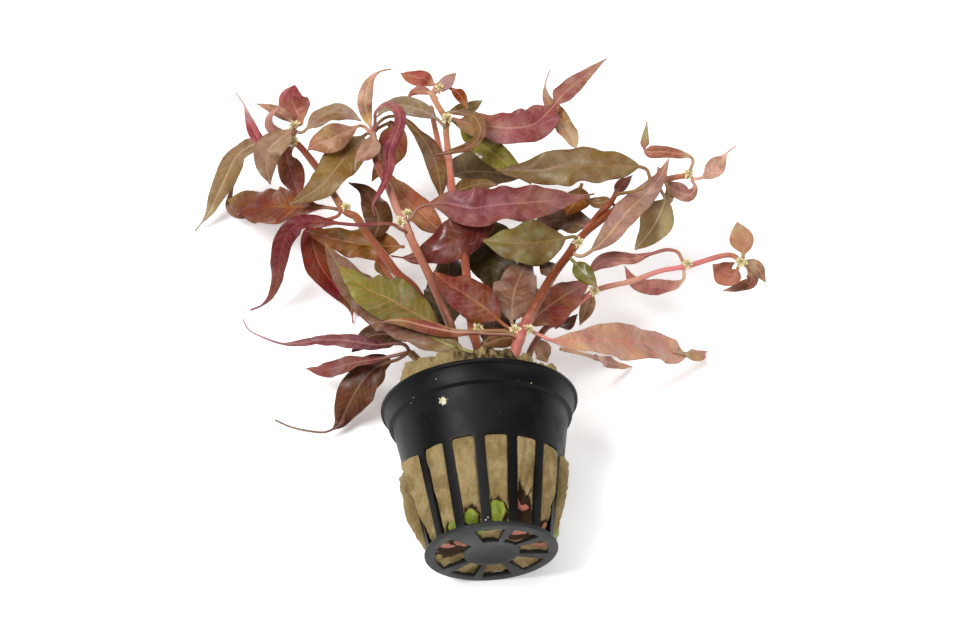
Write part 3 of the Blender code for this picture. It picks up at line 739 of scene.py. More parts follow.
@dataclass(frozen=True)
class Look(Dress):
    """The finish of one blade. A colour that isn't given is mixed from the main one."""

    main: Colour
    patch: Optional[Colour] = None
    base: Optional[Colour] = None
    tip: Optional[Colour] = None
    rib: Optional[Colour] = None
    vein: Optional[Colour] = None
    under: Optional[Colour] = None
    veined: float = 0.22
    netted: float = 0.1
    specks: float = 0.0
    wet: float = 0.0
    rough: float = 0.4
    base_end: float = 0.3
    tip_start: float = 0.6
    ruffle: float = 1.0

    def tint(self, given: Optional[Colour], share: float = 0.0, other: Colour = PALE_VEIN) -> Colour:
        """Work out the blade's own colour somewhere.

        Args:
            given: The colour there, if the look gives one.
            share: How much of the other colour is mixed into the main one if it doesn't.
            other: The other colour.

        Returns:
            The pigment.
        """
        return pigment(given) if given else blend(share, pigment(self.main), other)

    def paint(self, finish: Finish) -> dict[str, Value]:
        """Return what goes into the shader's sockets."""
        main = pigment(self.main)
        patch = self.tint(self.patch, 0.45, DEEP_PATCH)
        tip = self.tint(self.tip)
        vein_colour = self.tint(self.vein, 0.24, PALE_VEIN)
        under = self.tint(self.under, 0.35, PALE_UNDER)
        share, across, side = finish.carried("blade")
        along, offset, _ = finish.carried("ribs")
        reach = offset.size()
        drift = (finish.grain(4.5 * MM, 2.0) - 0.5) * 4.0
        slant = VEIN_SLANT + across.size() * VEIN_CURVE
        place = (along - reach * slant + drift) / (VEIN_PITCH / MM) + offset.step(-0.01, 0.01) * 0.5
        gap = (place.part() - 0.5).size() * (VEIN_PITCH / MM)
        veins = gap.step(0.3, 0.1) * across.size().step(1.0, 0.55)
        halo = gap.step(0.9, 0.15)
        ridge = reach / (0.42 - share * 0.26)
        rib = ridge.step(1.15, 0.55)
        net = finish.cells(0.95 * MM).step(0.1, 0.02)
        soft = finish.grain(6.0 * MM, 4.0, 0.6, warp=0.4).step(0.4, 0.6)
        fine = finish.grain(0.7 * MM, 4.0, 0.65)
        margin = across.size().step(0.9, 1.0) * 0.35
        colour = finish.layers(
            main, (soft, patch), (share.step(self.base_end, 0.08), self.tint(self.base)),
            ((share + drift * 0.05).step(self.tip_start, 0.97), tip),
            (halo * 0.25 * self.veined, vein_colour), (net * self.netted, vein_colour),
            (veins * self.veined, vein_colour), (margin, blend(0.5, tip, DARK_MARGIN)),
            (rib * 0.7, self.tint(self.rib, 0.28, PALE_VEIN)))
        below = finish.layers(
            under, (soft * 0.5, blend(0.3, under, main)), (veins * 0.55, blend(0.4, under, PALE_VEIN)),
            (rib, blend(0.6, under, PALE_VEIN)))
        colour = finish.mix(side.step(0.2, -0.2), colour, below)
        if self.specks:
            dots = finish.cells(1.5 * MM, edges=False).step(0.2, 0.1)
            place_of_dots = finish.grain(5.0 * MM, 2.0).step(0.5, 0.6)
            colour = finish.mix(dots * place_of_dots * self.specks, colour, SPECKLE)
        wide = finish.grain(9.0 * MM, 2.0)
        flow = finish.node("ShaderNodeCombineXYZ", values={0: place, 1: reach * 0.16, 2: offset * 0.05})
        strands = finish.grain(0.8, 3.0, 0.6, source=flow)
        tone = finish.node("ShaderNodeHueSaturation", values={
            "Hue": (wide - 0.5) * 0.09 + 0.5, "Saturation": (soft - 0.5) * 0.12 + 1.08,
            "Value": (wide - 0.5) * 0.7 + (strands - 0.5) * 0.8 + (fine - 0.5) * 0.3 + 1.0, "Color": colour})
        height = (1.0 - veins) * 0.35 + net * -0.12 + fine * 0.25
        rough = (fine - 0.5) * 0.25 + (soft - 0.5) * 0.12 + self.rough
        film = finish.grain(4.0 * MM, 3.0, warp=0.8).step(0.5, 0.64) * self.wet
        return {"Base Color": tone, "Roughness": rough, "Specular IOR Level": 0.24, "Coat Weight": film,
                "Coat Roughness": 0.1, "Normal": finish.relief(height, 0.45, 0.16 * MM)}


LEAFLET_LOOKS: dict[str, Look] = {
    "pink": Look((0.53, 0.24, 0.2), tip=(0.66, 0.36, 0.32)),
    "brown": Look((0.28, 0.14, 0.06)),
    "mauve": Look((0.21, 0.11, 0.07)),
    "dark_olive": Look((0.16, 0.07, 0.03)),
    "peach": Look((0.56, 0.29, 0.19), tip=(0.66, 0.45, 0.34)),
    "tan": Look((0.55, 0.32, 0.2)),
    "crimson": Look((0.36, 0.12, 0.08)),
    "grey_olive": Look((0.19, 0.13, 0.07)),
    "olive": Look((0.3, 0.21, 0.08)),
    "dark_brown": Look((0.13, 0.05, 0.02)),
}

STEMS: dict[str, Stem] = {
    "right_stem": Stem(
        "stem_pink",
        (9.0, 11.5),
        [(515, 352, 41), (521, 334, 42), (538, 301, 40), (553, 275, 39), (568, 255, 38), (582, 236, 37),
         (601, 220, 36), (622, 204, 35), (643, 188, 34), (668, 179, 33), (689, 175, 33)],
        (1.55, 0.85),
        shoots=[[(585, 232, 36.5), (600, 213, 36.5), (608, 206, 37), (614, 197, 37), (617, 190, 37)]],
        buds=[(515, 330, 43), (528, 330, 42), (578, 243, 39), (689, 174, 34)],
        leaflets=[
            Leaf("pink", 4.8, [(690, 178, 33), (695, 187, 32), (689, 195, 31.5), (678, 191, 31),
                (664, 182, 31)], petiole=0.05, peak=0.6),
            Leaf("pink", 2.8, [(667, 179, 33.5), (662, 174, 35), (657, 167, 36)], petiole=0.05),
            Leaf("tan", 2.8, [(665, 181, 33), (669, 192, 30.5), (668, 206, 29)], petiole=0.05, peak=0.6),
            Leaf("crimson", 3.4, [(615, 193, 36.5), (623, 184, 35.5), (632, 176, 35)], petiole=0.05),
            Leaf("brown", 3.6, [(614, 205, 36), (607, 201, 36.5), (598, 203, 36), (586, 200, 35)]),
            Leaf("mauve", 9.0, [(592, 228, 35.8), (583, 226, 31.5), (556, 220, 26.5), (528, 231, 25)]),
            Leaf("dark_olive", 5.0, [(552, 278, 38), (548, 268, 35), (541, 259, 33)]),
            Leaf("brown", 5.2, [(521, 338, 41), (500, 339, 37), (480, 346, 34)], petiole=0.05),
        ],
    ),
    "low_right_stem": Stem(
        "stem_pink",
        (13.5, 6.0),
        [(531, 350, 35), (545, 329, 32), (558, 321, 30), (593, 292, 27), (632, 281, 26), (660, 271, 26),
         (687, 266, 26), (727, 255, 26), (742, 262, 26)],
        (0.95, 0.75),
        buds=[(594, 291, 28), (687, 264, 27), (741, 262, 27)],
        leaflets=[
            Leaf("peach", 3.8, [(740, 261, 26), (751, 272, 23), (750, 283, 18), (737, 288, 15),
                (723, 291, 13)]),
            Leaf("tan", 3.8, [(740, 260, 26), (754, 265, 25), (761, 274, 22), (765, 282, 19)]),
            Leaf("dark_olive", 4.4, [(552, 325, 31), (566, 324, 25), (577, 315, 23)]),
            Leaf("tan", 4.0, [(593, 292, 27), (588, 306, 24), (580, 325, 19)], petiole=0.05),
            Leaf("tan", 5.6, [(534, 346, 34), (541, 351, 31), (547, 362, 27)], petiole=0.05),
        ],
    ),
    "centre_stem": Stem(
        "stem_pink",
        (0.0, 7.0),
        [(478, 350, 36), (473, 331, 35), (469, 300, 34), (465, 262, 33), (458, 225, 32), (453, 195, 31),
         (450, 170, 31), (446, 131, 30), (447, 121, 30), (437, 104, 30), (433, 94, 30), (440, 83, 30.5)],
        (1.4, 0.9),
        shoots=[[(459, 226, 31.5), (451, 190, 27), (440, 150, 26), (434, 123, 26), (431, 106, 27)]],
        buds=[(478, 328, 37), (447, 119, 32), (440, 88, 31)],
        leaflets=[
            Leaf("crimson", 5.6, [(436, 86, 30), (424, 79, 32), (412, 77, 32), (401, 74, 31)], petiole=0.05,
                look=Look((0.44, 0.09, 0.065), base=(0.6, 0.34, 0.27), tip=(0.42, 0.13, 0.08))),
            Leaf("mauve", 4.2, [(435, 93, 30.3), (442, 87, 31.5), (456, 73, 34)], petiole=0.05, peak=0.5,
                look=Look((0.5, 0.3, 0.28), (0.42, 0.22, 0.22), tip=(0.4, 0.22, 0.13))),
            Leaf("peach", 2.6, [(437, 98, 30.2), (425, 91, 32), (414, 92, 33), (407, 99, 33.5)],
                look=Look((0.62, 0.26, 0.19), base=(0.72, 0.52, 0.4), tip=(0.5, 0.14, 0.1))),
            Leaf("olive", 4.6, [(444, 114, 30), (464, 109, 29), (475, 105, 28), (482, 101, 28)],
                petiole=0.05, peak=0.55),
            Leaf("grey_olive", 12.0, [(451, 176, 30), (466, 172, 26), (488, 172, 23), (520, 178, 21)],
                petiole=0.05),
            Leaf("brown", 5.6, [(454, 192, 30.5), (468, 187, 27.5), (482, 184, 26), (498, 185, 25)],
                petiole=0.05),
        ],
    ),
    "mid_left_stem": Stem(
        "stem_peach",
        (-6.0, 8.5),
        [(452, 332, 37), (442, 305, 37), (429, 275, 37), (418, 253, 37), (410, 236, 36), (405, 221, 36),
         (398, 211, 35.5), (390, 191, 35), (380, 170, 34), (375, 156, 33), (373, 135, 33)],
        (1.4, 1.0),
        buds=[(400, 222, 37), (407, 214, 37)],
    ),
    "left_stem": Stem(
        "stem_orange",
        (-9.0, 3.0),
        [(440, 335, 32), (416, 291, 32), (397, 273, 31), (381, 252, 31), (366, 232, 30), (356, 217, 29),
         (345, 211, 29), (331, 190, 27), (318, 169, 27), (304, 151, 27), (291, 136, 27), (294, 127, 28)],
        (1.4, 1.0),
        shoots=[[(430, 318, 31), (402, 291, 26), (390, 277, 24), (376, 258, 22)]],
        buds=[(346, 208, 30), (294, 142, 28), (294, 126, 29)],
        leaflets=[
            Leaf("peach", 3.4, [(296, 127, 28), (287, 117, 31), (272, 109, 33), (257, 104, 33)]),
            Leaf("pink", 3.0, [(295, 134, 27.5), (281, 133, 30), (270, 127, 32.5), (270, 116, 34.5),
                (281, 107, 36)]),
            Leaf("crimson", 7.6, [(297, 143, 26.8), (287, 155, 22.5), (292, 175, 17), (299, 198, 14)],
                petiole=0.05, peak=0.55),
            Leaf("dark_brown", 8.0, [(372, 241, 30), (379, 222, 27), (372, 201, 25), (364, 190, 24),
                (349, 183, 24)], petiole=0.05),
            Leaf("brown", 4.0, [(376, 259, 22.3), (382, 268, 22.5), (390, 280, 23)], petiole=0.05),
        ],
    ),
    "low_left_stem": Stem(
        "stem_brown",
        (-13.5, -5.0),
        [(420, 364, 26), (410, 352, 26)],
        (1.2, 1.0),
    ),
}

LEAVES: dict[str, Leaf] = {
    "left_leaf_01": Leaf("tan", 7.0, [(283, 137, 25.5), (268, 140, 24.5), (251, 146, 23), (237, 156, 20),
        (227, 175, 14), (217, 195, 9), (209, 213, 5), (195, 231, 0.5)], tail=0.92,
        look=Look((0.38, 0.23, 0.12), (0.32, 0.19, 0.095), base=(0.43, 0.2, 0.12), tip=(0.39, 0.28, 0.16),
        rib=(0.64, 0.46, 0.29))),
    "left_leaf_02": Leaf("pink", 3.6, [(284, 139, 28.2), (266, 146, 27.6), (256, 136, 29), (249, 120, 30.5),
        (244, 105, 33), (236, 93, 35)], tail=0.82, look=Look((0.53, 0.11, 0.12), base=(0.49, 0.14, 0.12),
        tip=(0.9, 0.77, 0.79), tip_start=0.52)),
    "left_leaf_03": Leaf("crimson", 9.6, [(302, 123, 28.5), (297, 112, 28.5), (292, 98, 32), (295, 85, 35)],
        petiole=0.05, peak=0.5, look=Look((0.46, 0.14, 0.12), base=(0.54, 0.3, 0.16),
        tip=(0.45, 0.1, 0.09))),
    "left_leaf_04": Leaf("mauve", 8.4, [(294, 128, 31.5), (283, 137, 31.5), (269, 149, 29.5), (266, 163, 27),
        (270, 184, 25)], petiole=0.08, look=Look((0.4, 0.23, 0.14), (0.33, 0.18, 0.11),
        tip=(0.22, 0.12, 0.065))),
    "left_leaf_05": Leaf("olive", 6.4, [(301, 133, 27), (309, 127, 28), (320, 118, 29), (332, 113, 30),
        (346, 113, 30), (361, 121, 29)], look=Look((0.4, 0.26, 0.16), (0.32, 0.18, 0.1),
        base=(0.52, 0.32, 0.23), tip=(0.42, 0.3, 0.23))),
    "left_leaf_06": Leaf("red_brown", 12.4, [(343, 211, 27), (330, 208, 27), (312, 207, 26), (287, 207, 23),
        (261, 205, 17), (228, 200, 9)], petiole=0.08, peak=0.58, look=Look((0.21, 0.05, 0.035),
        (0.26, 0.08, 0.04), tip=(0.28, 0.18, 0.075), rib=(0.34, 0.13, 0.065), specks=0.5, tip_start=0.72,
        veined=0.35)),
    "left_leaf_07": Leaf("dark_olive", 4.4, [(327, 194, 24), (300, 200, 18), (265, 207, 11), (240, 213, 6),
        (229, 205, 5), (234, 183, 6)], look=Look((0.21, 0.07, 0.045), tip=(0.42, 0.27, 0.18))),
    "left_leaf_08": Leaf("red_brown", 8.4, [(338, 216, 26), (322, 222, 22.5), (313, 233, 20.5),
        (314, 248, 17.5), (321, 267, 13.5), (337, 288, 7), (350, 305, 3.5), (353, 323, 0.5)], tail=0.95,
        look=Look((0.2, 0.035, 0.025), (0.28, 0.055, 0.035), tip=(0.16, 0.045, 0.018),
        rib=(0.57, 0.18, 0.14))),
    "mid_leaf_01": Leaf("tan", 4.4, [(372, 130, 34), (366, 113, 38), (365, 98, 42), (370, 81, 44.5),
        (379, 72, 46), (391, 69, 47)], petiole=0.05, tail=0.86, look=Look((0.74, 0.42, 0.31),
        base=(0.9, 0.55, 0.25), tip=(0.72, 0.3, 0.27))),
    "mid_leaf_02": Leaf("peach", 8.4, [(362, 126, 34.5), (350, 130, 37), (333, 138, 38), (318, 144, 37.5),
        (308, 150, 37)], petiole=0.08, peak=0.6, look=Look((0.56, 0.3, 0.19), base=(0.8, 0.36, 0.24),
        tip=(0.45, 0.19, 0.11))),
    "mid_leaf_03": Leaf("olive", 10.8, [(367, 134, 31), (358, 142, 32), (343, 160, 33), (321, 186, 32),
        (290, 205, 30)], petiole=0.05, look=Look((0.33, 0.2, 0.08), (0.27, 0.15, 0.055),
        base=(0.53, 0.38, 0.23), tip=(0.21, 0.11, 0.055), vein=(0.43, 0.28, 0.12), ruffle=0.7)),
    "mid_leaf_04": Leaf("peach", 5.6, [(374, 133, 37), (370, 148, 38), (357, 161, 38), (355, 171, 37)],
        tail=0.86, look=Look((0.56, 0.31, 0.23), (0.45, 0.23, 0.16), tip=(0.47, 0.31, 0.23))),
    "mid_leaf_05": Leaf("magenta", 3.8, [(375, 123, 36), (376, 112, 40), (386, 105, 43), (398, 111, 44),
        (400, 124, 43), (394, 138, 42), (389, 153, 41), (389, 168, 40), (383, 187, 39), (373, 205, 37),
        (375, 217, 35)], petiole=0.08, look=Look((0.3, 0.06, 0.09), base=(0.57, 0.29, 0.24),
        tip=(0.26, 0.06, 0.08), rib=(0.41, 0.13, 0.14))),
    "mid_leaf_06": Leaf("brown", 8.6, [(379, 128, 32), (391, 125, 31), (392, 148, 29), (372, 181, 25)],
        look=Look((0.26, 0.1, 0.035), (0.31, 0.085, 0.06), tip=(0.25, 0.12, 0.035))),
    "mid_leaf_07": Leaf("crimson", 5.6, [(400, 229, 39), (389, 224, 38), (357, 225, 35), (320, 222, 32),
        (298, 224, 29), (284, 240, 24), (279, 262, 18), (274, 290, 9), (264, 304, 4.5), (251, 310, 0.5)],
        petiole=0.3, tail=0.92, look=Look((0.2, 0.03, 0.035), base=(0.28, 0.1, 0.065),
        tip=(0.25, 0.075, 0.075), rib=(0.3, 0.065, 0.065))),
    "mid_leaf_08": Leaf("brown", 9.8, [(404, 247, 28), (388, 246, 25.5), (362, 244, 23.5), (335, 239, 23),
        (306, 231, 22.5)], petiole=0.05, look=Look((0.37, 0.15, 0.05), (0.19, 0.085, 0.02), wet=0.6,
        rough=0.38)),
    "mid_leaf_09": Leaf("mauve", 11.8, [(411, 218, 38), (420, 207, 40), (444, 203, 41), (471, 208, 42),
        (489, 206, 42), (522, 203, 42), (560, 200, 40), (594, 194, 38)], tail=0.96,
        look=Look((0.33, 0.1, 0.1), (0.22, 0.06, 0.06), base=(0.32, 0.16, 0.085), tip=(0.35, 0.17, 0.14),
        rib=(0.44, 0.2, 0.17), vein=(0.4, 0.17, 0.16))),
    "centre_leaf_01": Leaf("tan", 3.4, [(449, 88, 30), (457, 92, 32), (463, 100, 33), (468, 110, 33)],
        look=Look((0.43, 0.13, 0.045), tip=(0.36, 0.2, 0.075))),
    "centre_leaf_02": Leaf("peach", 3.6, [(450, 113, 32), (463, 113, 38), (475, 118, 41), (481, 129, 41),
        (477, 140, 40), (468, 147, 39), (455, 151, 37), (433, 156, 34)], look=Look((0.29, 0.14, 0.06),
        base=(0.45, 0.24, 0.11), tip=(0.2, 0.075, 0.03))),
    "centre_leaf_03": Leaf("magenta", 10.4, [(453, 119, 32), (466, 123, 34), (486, 126, 36), (512, 128, 37),
        (534, 124, 36), (550, 110, 36), (564, 94, 36.5), (584, 76, 37), (606, 59, 38)], petiole=0.04,
        peak=0.34, neck=0.6, look=Look((0.4, 0.13, 0.13), (0.3, 0.085, 0.09), base=(0.42, 0.24, 0.13),
        tip=(0.49, 0.27, 0.19), rib=(0.58, 0.28, 0.24))),
    "centre_leaf_04": Leaf("grey_olive", 5.6, [(443, 125, 32), (433, 116, 34), (418, 109, 35),
        (401, 105, 36), (386, 108, 36.5), (377, 117, 36.5)], look=Look((0.37, 0.28, 0.18), (0.3, 0.2, 0.12),
        tip=(0.42, 0.32, 0.22))),
    "mid_leaf_10": Leaf("grey_olive", 5.8, [(378, 124, 33.4), (388, 117, 33.2), (402, 118, 32.8),
        (415, 130, 31), (429, 148, 29.5), (438, 170, 28), (441, 199, 27)], peak=0.6,
        look=Look((0.24, 0.13, 0.055), (0.2, 0.09, 0.035), base=(0.44, 0.24, 0.11),
        tip=(0.16, 0.075, 0.03))),
    "centre_leaf_06": Leaf("green", 7.6, [(453, 121, 28.5), (461, 128, 29), (478, 142, 30), (497, 156, 31),
        (514, 170, 31), (531, 184, 30)], look=Look((0.26, 0.26, 0.045), (0.21, 0.16, 0.04),
        tip=(0.23, 0.19, 0.035), wet=0.9, rough=0.28, specks=0.3, veined=0.15)),
    "centre_leaf_07": Leaf("brown", 8.8, [(454, 234, 30), (440, 230, 29), (420, 213, 29), (402, 196, 29),
        (390, 174, 28)], look=Look((0.51, 0.22, 0.12), (0.43, 0.17, 0.085), base=(0.17, 0.055, 0.025),
        tip=(0.47, 0.24, 0.11))),
    "centre_leaf_08": Leaf("magenta", 11.4, [(464, 214, 33.5), (481, 215, 34), (489, 222, 35),
        (470, 232, 35.6), (447, 244, 35), (425, 255, 32), (408, 258, 30.5), (391, 256, 29.5)], petiole=0.2,
        peak=0.42, tail=0.9, look=Look((0.18, 0.035, 0.03), (0.12, 0.02, 0.018), tip=(0.2, 0.065, 0.05),
        rib=(0.25, 0.06, 0.05), wet=0.5, rough=0.38)),
    "centre_leaf_05": Leaf("dark_olive", 15.5, [(471, 222, 29), (484, 232, 27), (492, 257, 25),
        (493, 295, 22)], petiole=0.05, look=Look((0.065, 0.045, 0.004), (0.04, 0.025, 0.003),
        rib=(0.11, 0.08, 0.011))),
    "deep_leaf_01": Leaf("dark_olive", 13.0, [(452, 330, 27), (446, 312, 25), (448, 283, 23),
        (450, 246, 22)], petiole=0.05, look=Look((0.075, 0.045, 0.014), (0.11, 0.06, 0.02))),
    "deep_leaf_02": Leaf("dark_brown", 12.0, [(482, 345, 26.5), (492, 330, 23), (499, 300, 19.5),
        (505, 262, 17)], petiole=0.05, look=Look((0.1, 0.045, 0.02), (0.14, 0.06, 0.03))),
    "right_leaf_01": Leaf("tan", 5.8, [(577, 151, 31), (569, 134, 32), (557, 114, 32), (547, 99, 32),
        (545, 86, 33), (550, 69, 34)], petiole=0.04, peak=0.34, tail=0.82, look=Look((0.53, 0.33, 0.23),
        (0.43, 0.22, 0.12), tip=(0.69, 0.45, 0.45))),
    "right_leaf_02": Leaf("olive", 11.6, [(620, 194, 39), (631, 192, 42), (647, 186, 44), (649, 175, 45),
        (640, 167, 45), (601, 166, 45), (561, 167, 43), (530, 171, 41), (496, 171, 39)], petiole=0.3,
        look=Look((0.28, 0.18, 0.085), (0.23, 0.13, 0.055), base=(0.35, 0.21, 0.1), tip=(0.17, 0.095, 0.04),
        rib=(0.35, 0.18, 0.08), vein=(0.34, 0.19, 0.085))),
    "right_leaf_03": Leaf("olive", 12.8, [(575, 237, 40.5), (556, 240, 41), (530, 243, 41), (505, 243, 40),
        (483, 241, 39)], look=Look((0.22, 0.17, 0.06), (0.18, 0.11, 0.04), rib=(0.32, 0.2, 0.065),
        vein=(0.29, 0.18, 0.065), ruffle=1.7)),
    "right_leaf_04": Leaf("tan", 7.8, [(582, 184, 34), (576, 200, 33), (566, 215, 32)],
        look=Look((0.66, 0.38, 0.17), (0.52, 0.23, 0.09), tip=(0.5, 0.18, 0.06))),
    "right_leaf_05": Leaf("mauve", 7.4, [(583, 256, 38), (603, 241, 39), (619, 222, 39.2), (631, 208, 38.2),
        (646, 194, 38), (660, 177, 38), (669, 159, 38)], petiole=0.06, look=Look((0.48, 0.27, 0.23),
        (0.44, 0.23, 0.19), base=(0.36, 0.21, 0.14), tip=(0.47, 0.23, 0.18), rib=(0.68, 0.44, 0.25),
        ruffle=0.6)),
    "right_leaf_06": Leaf("olive", 9.4, [(661, 191, 32.5), (665, 199, 32), (661, 211, 31), (652, 229, 27),
        (635, 250, 22)], petiole=0.15, look=Look((0.42, 0.32, 0.15), (0.4, 0.24, 0.14),
        base=(0.5, 0.42, 0.21), tip=(0.44, 0.28, 0.15), rib=(0.9, 0.7, 0.41))),
    "right_leaf_07": Leaf("crimson", 3.8, [(691, 168, 36), (693, 161, 37), (688, 156, 38), (666, 152, 38),
        (646, 151, 37), (645, 140, 38), (647, 122, 40)], neck=0.62, look=Look((0.45, 0.15, 0.1),
        base=(0.67, 0.59, 0.32), tip=(0.32, 0.35, 0.14), tip_start=0.55)),
    "right_leaf_08": Leaf("peach", 5.4, [(694, 179, 33), (704, 177, 32), (714, 169, 31.5), (722, 159, 31),
        (728, 152, 31), (736, 146, 31)], peak=0.5, tail=0.76, look=Look((0.88, 0.54, 0.42),
        base=(0.9, 0.58, 0.4), tip=(0.85, 0.56, 0.48), vein=(0.8, 0.32, 0.16), veined=0.5)),
    "right_leaf_09": Leaf("dark_brown", 12.6, [(527, 326, 39), (540, 313, 34.6), (564, 296, 30.8),
        (590, 281, 29)], petiole=0.06, look=Look((0.34, 0.13, 0.075), (0.24, 0.06, 0.045),
        tip=(0.45, 0.2, 0.2), rib=(0.58, 0.35, 0.18))),
    "right_leaf_10": Leaf("green", 5.0, [(572, 260, 38), (582, 271, 38), (597, 287, 36)],
        look=Look((0.14, 0.14, 0.013), (0.16, 0.15, 0.019), tip=(0.31, 0.2, 0.045), wet=0.5, rough=0.34)),
    "right_leaf_11": Leaf("mauve", 11.8, [(513, 325, 39.2), (512, 311, 38.8), (514, 293, 38),
        (521, 274, 35.5), (530, 256, 33.5)], petiole=0.06, look=Look((0.34, 0.2, 0.15), (0.23, 0.1, 0.065),
        tip=(0.17, 0.06, 0.04))),
    "right_leaf_12": Leaf("mauve", 11.2, [(507, 327, 42), (486, 309, 41), (466, 295, 40.5), (447, 283, 40),
        (434, 272, 39.5)], look=Look((0.25, 0.08, 0.05), (0.16, 0.035, 0.02), tip=(0.25, 0.06, 0.045),
        rib=(0.4, 0.16, 0.08))),
    "right_leaf_13": Leaf("olive", 12.2, [(509, 333, 44), (501, 331, 45), (486, 331, 46), (475, 332, 46),
        (452, 330, 45), (431, 322, 44), (407, 309, 42), (388, 298, 41), (366, 288, 39), (339, 267, 36)],
        petiole=0.34, look=Look((0.2, 0.18, 0.045), (0.17, 0.13, 0.035), base=(0.29, 0.15, 0.07),
        tip=(0.29, 0.25, 0.06), rib=(0.46, 0.24, 0.13), vein=(0.4, 0.2, 0.1), base_end=0.42, veined=0.62,
        ruffle=1.5)),
    "right_leaf_14": Leaf("peach", 10.6, [(541, 336, 40), (555, 341, 39.5), (586, 341, 35), (618, 341, 28),
        (648, 344, 20), (672, 351, 12), (689, 355, 6), (707, 352, 1.2)], petiole=0.04, peak=0.44, neck=0.86,
        look=Look((0.71, 0.39, 0.28), (0.65, 0.34, 0.23), tip=(0.89, 0.41, 0.34), rib=(0.9, 0.37, 0.32),
        veined=0.45, ruffle=0.35)),
    "tip_leaf_01": Leaf("tan", 6.6, [(743, 256, 28.4), (743, 246, 30.5), (737, 222, 35)], petiole=0.05,
        peak=0.45, look=Look((0.52, 0.25, 0.14), (0.6, 0.35, 0.21), tip=(0.53, 0.33, 0.21))),
    "tip_leaf_02": Leaf("red_brown", 8.0, [(738, 268, 24), (731, 275, 22), (713, 265, 20.5)], petiole=0.05,
        look=Look((0.46, 0.17, 0.11), (0.52, 0.22, 0.16), specks=0.5)),
    "low_leaf_01": Leaf("mauve", 4.6, [(682, 260, 27), (677, 252, 29), (666, 250, 31), (651, 254, 32),
        (631, 259, 32), (611, 259, 32), (597, 265, 32), (588, 274, 32)], petiole=0.3, peak=0.58,
        look=Look((0.5, 0.2, 0.17), base=(0.69, 0.32, 0.19), tip=(0.36, 0.15, 0.14))),
    "low_leaf_02": Leaf("mauve", 4.8, [(684, 272, 24), (683, 280, 21), (671, 286, 18), (647, 287, 15),
        (633, 281, 14), (625, 267, 14)], look=Look((0.8, 0.34, 0.29), base=(0.9, 0.68, 0.51),
        tip=(0.69, 0.27, 0.19))),
    "low_leaf_03": Leaf("mauve", 3.2, [(560, 349, 26), (577, 353, 23), (593, 357, 18), (608, 362, 10),
        (622, 366, 4), (631, 367, 0.5)], peak=0.6, look=Look((0.72, 0.4, 0.3))),
    "collar_leaf_01": Leaf("mauve", 12.0, [(484, 356, 43), (460, 349, 42), (440, 341, 42), (402, 321, 39),
        (370, 298, 35), (343, 272, 31), (325, 243, 27)], petiole=0.08, look=Look((0.27, 0.14, 0.1),
        (0.23, 0.1, 0.065), base=(0.25, 0.16, 0.07), tip=(0.25, 0.12, 0.085), rib=(0.33, 0.34, 0.09),
        vein=(0.33, 0.19, 0.11), veined=0.4)),
    "collar_leaf_02": Leaf("pink", 4.0, [(402, 344, 29), (376, 345, 26), (350, 341, 23), (322, 340, 18),
        (303, 343, 16), (283, 344, 14), (262, 337, 11), (249, 330, 10), (243, 320, 9)], petiole=0.03,
        tail=0.7, look=Look((0.28, 0.1, 0.13), (0.23, 0.07, 0.08), base=(0.095, 0.025, 0.014),
        tip=(0.62, 0.36, 0.49))),
    "collar_leaf_03": Leaf("pink", 5.0, [(402, 354, 26.5), (379, 359, 24.5), (354, 363, 19.5),
        (326, 370, 11), (307, 369, 7)], petiole=0.03, peak=0.62, look=Look((0.24, 0.06, 0.06),
        (0.19, 0.04, 0.035), base=(0.11, 0.025, 0.014), tip=(0.39, 0.15, 0.12))),
    "collar_leaf_04": Leaf("red_brown", 10.8, [(397, 360, 21.5), (383, 364, 18), (370, 373, 15.5),
        (358, 388, 12), (347, 408, 7), (339, 424, 4), (326, 432, 3), (309, 431, 1.8), (291, 427, 1),
        (275, 420, 0.5)], petiole=0.05, peak=0.42, tail=0.6, look=Look((0.12, 0.04, 0.018),
        (0.17, 0.06, 0.03), tip=(0.25, 0.17, 0.07), tip_start=0.55, wet=0.3)),
    "collar_leaf_05": Leaf("dark_olive", 9.0, [(406, 341, 21), (392, 335, 20), (371, 336, 17),
        (352, 352, 13)], petiole=0.05, look=Look((0.1, 0.035, 0.013), (0.06, 0.025, 0.007),
        tip=(0.17, 0.07, 0.05))),
}
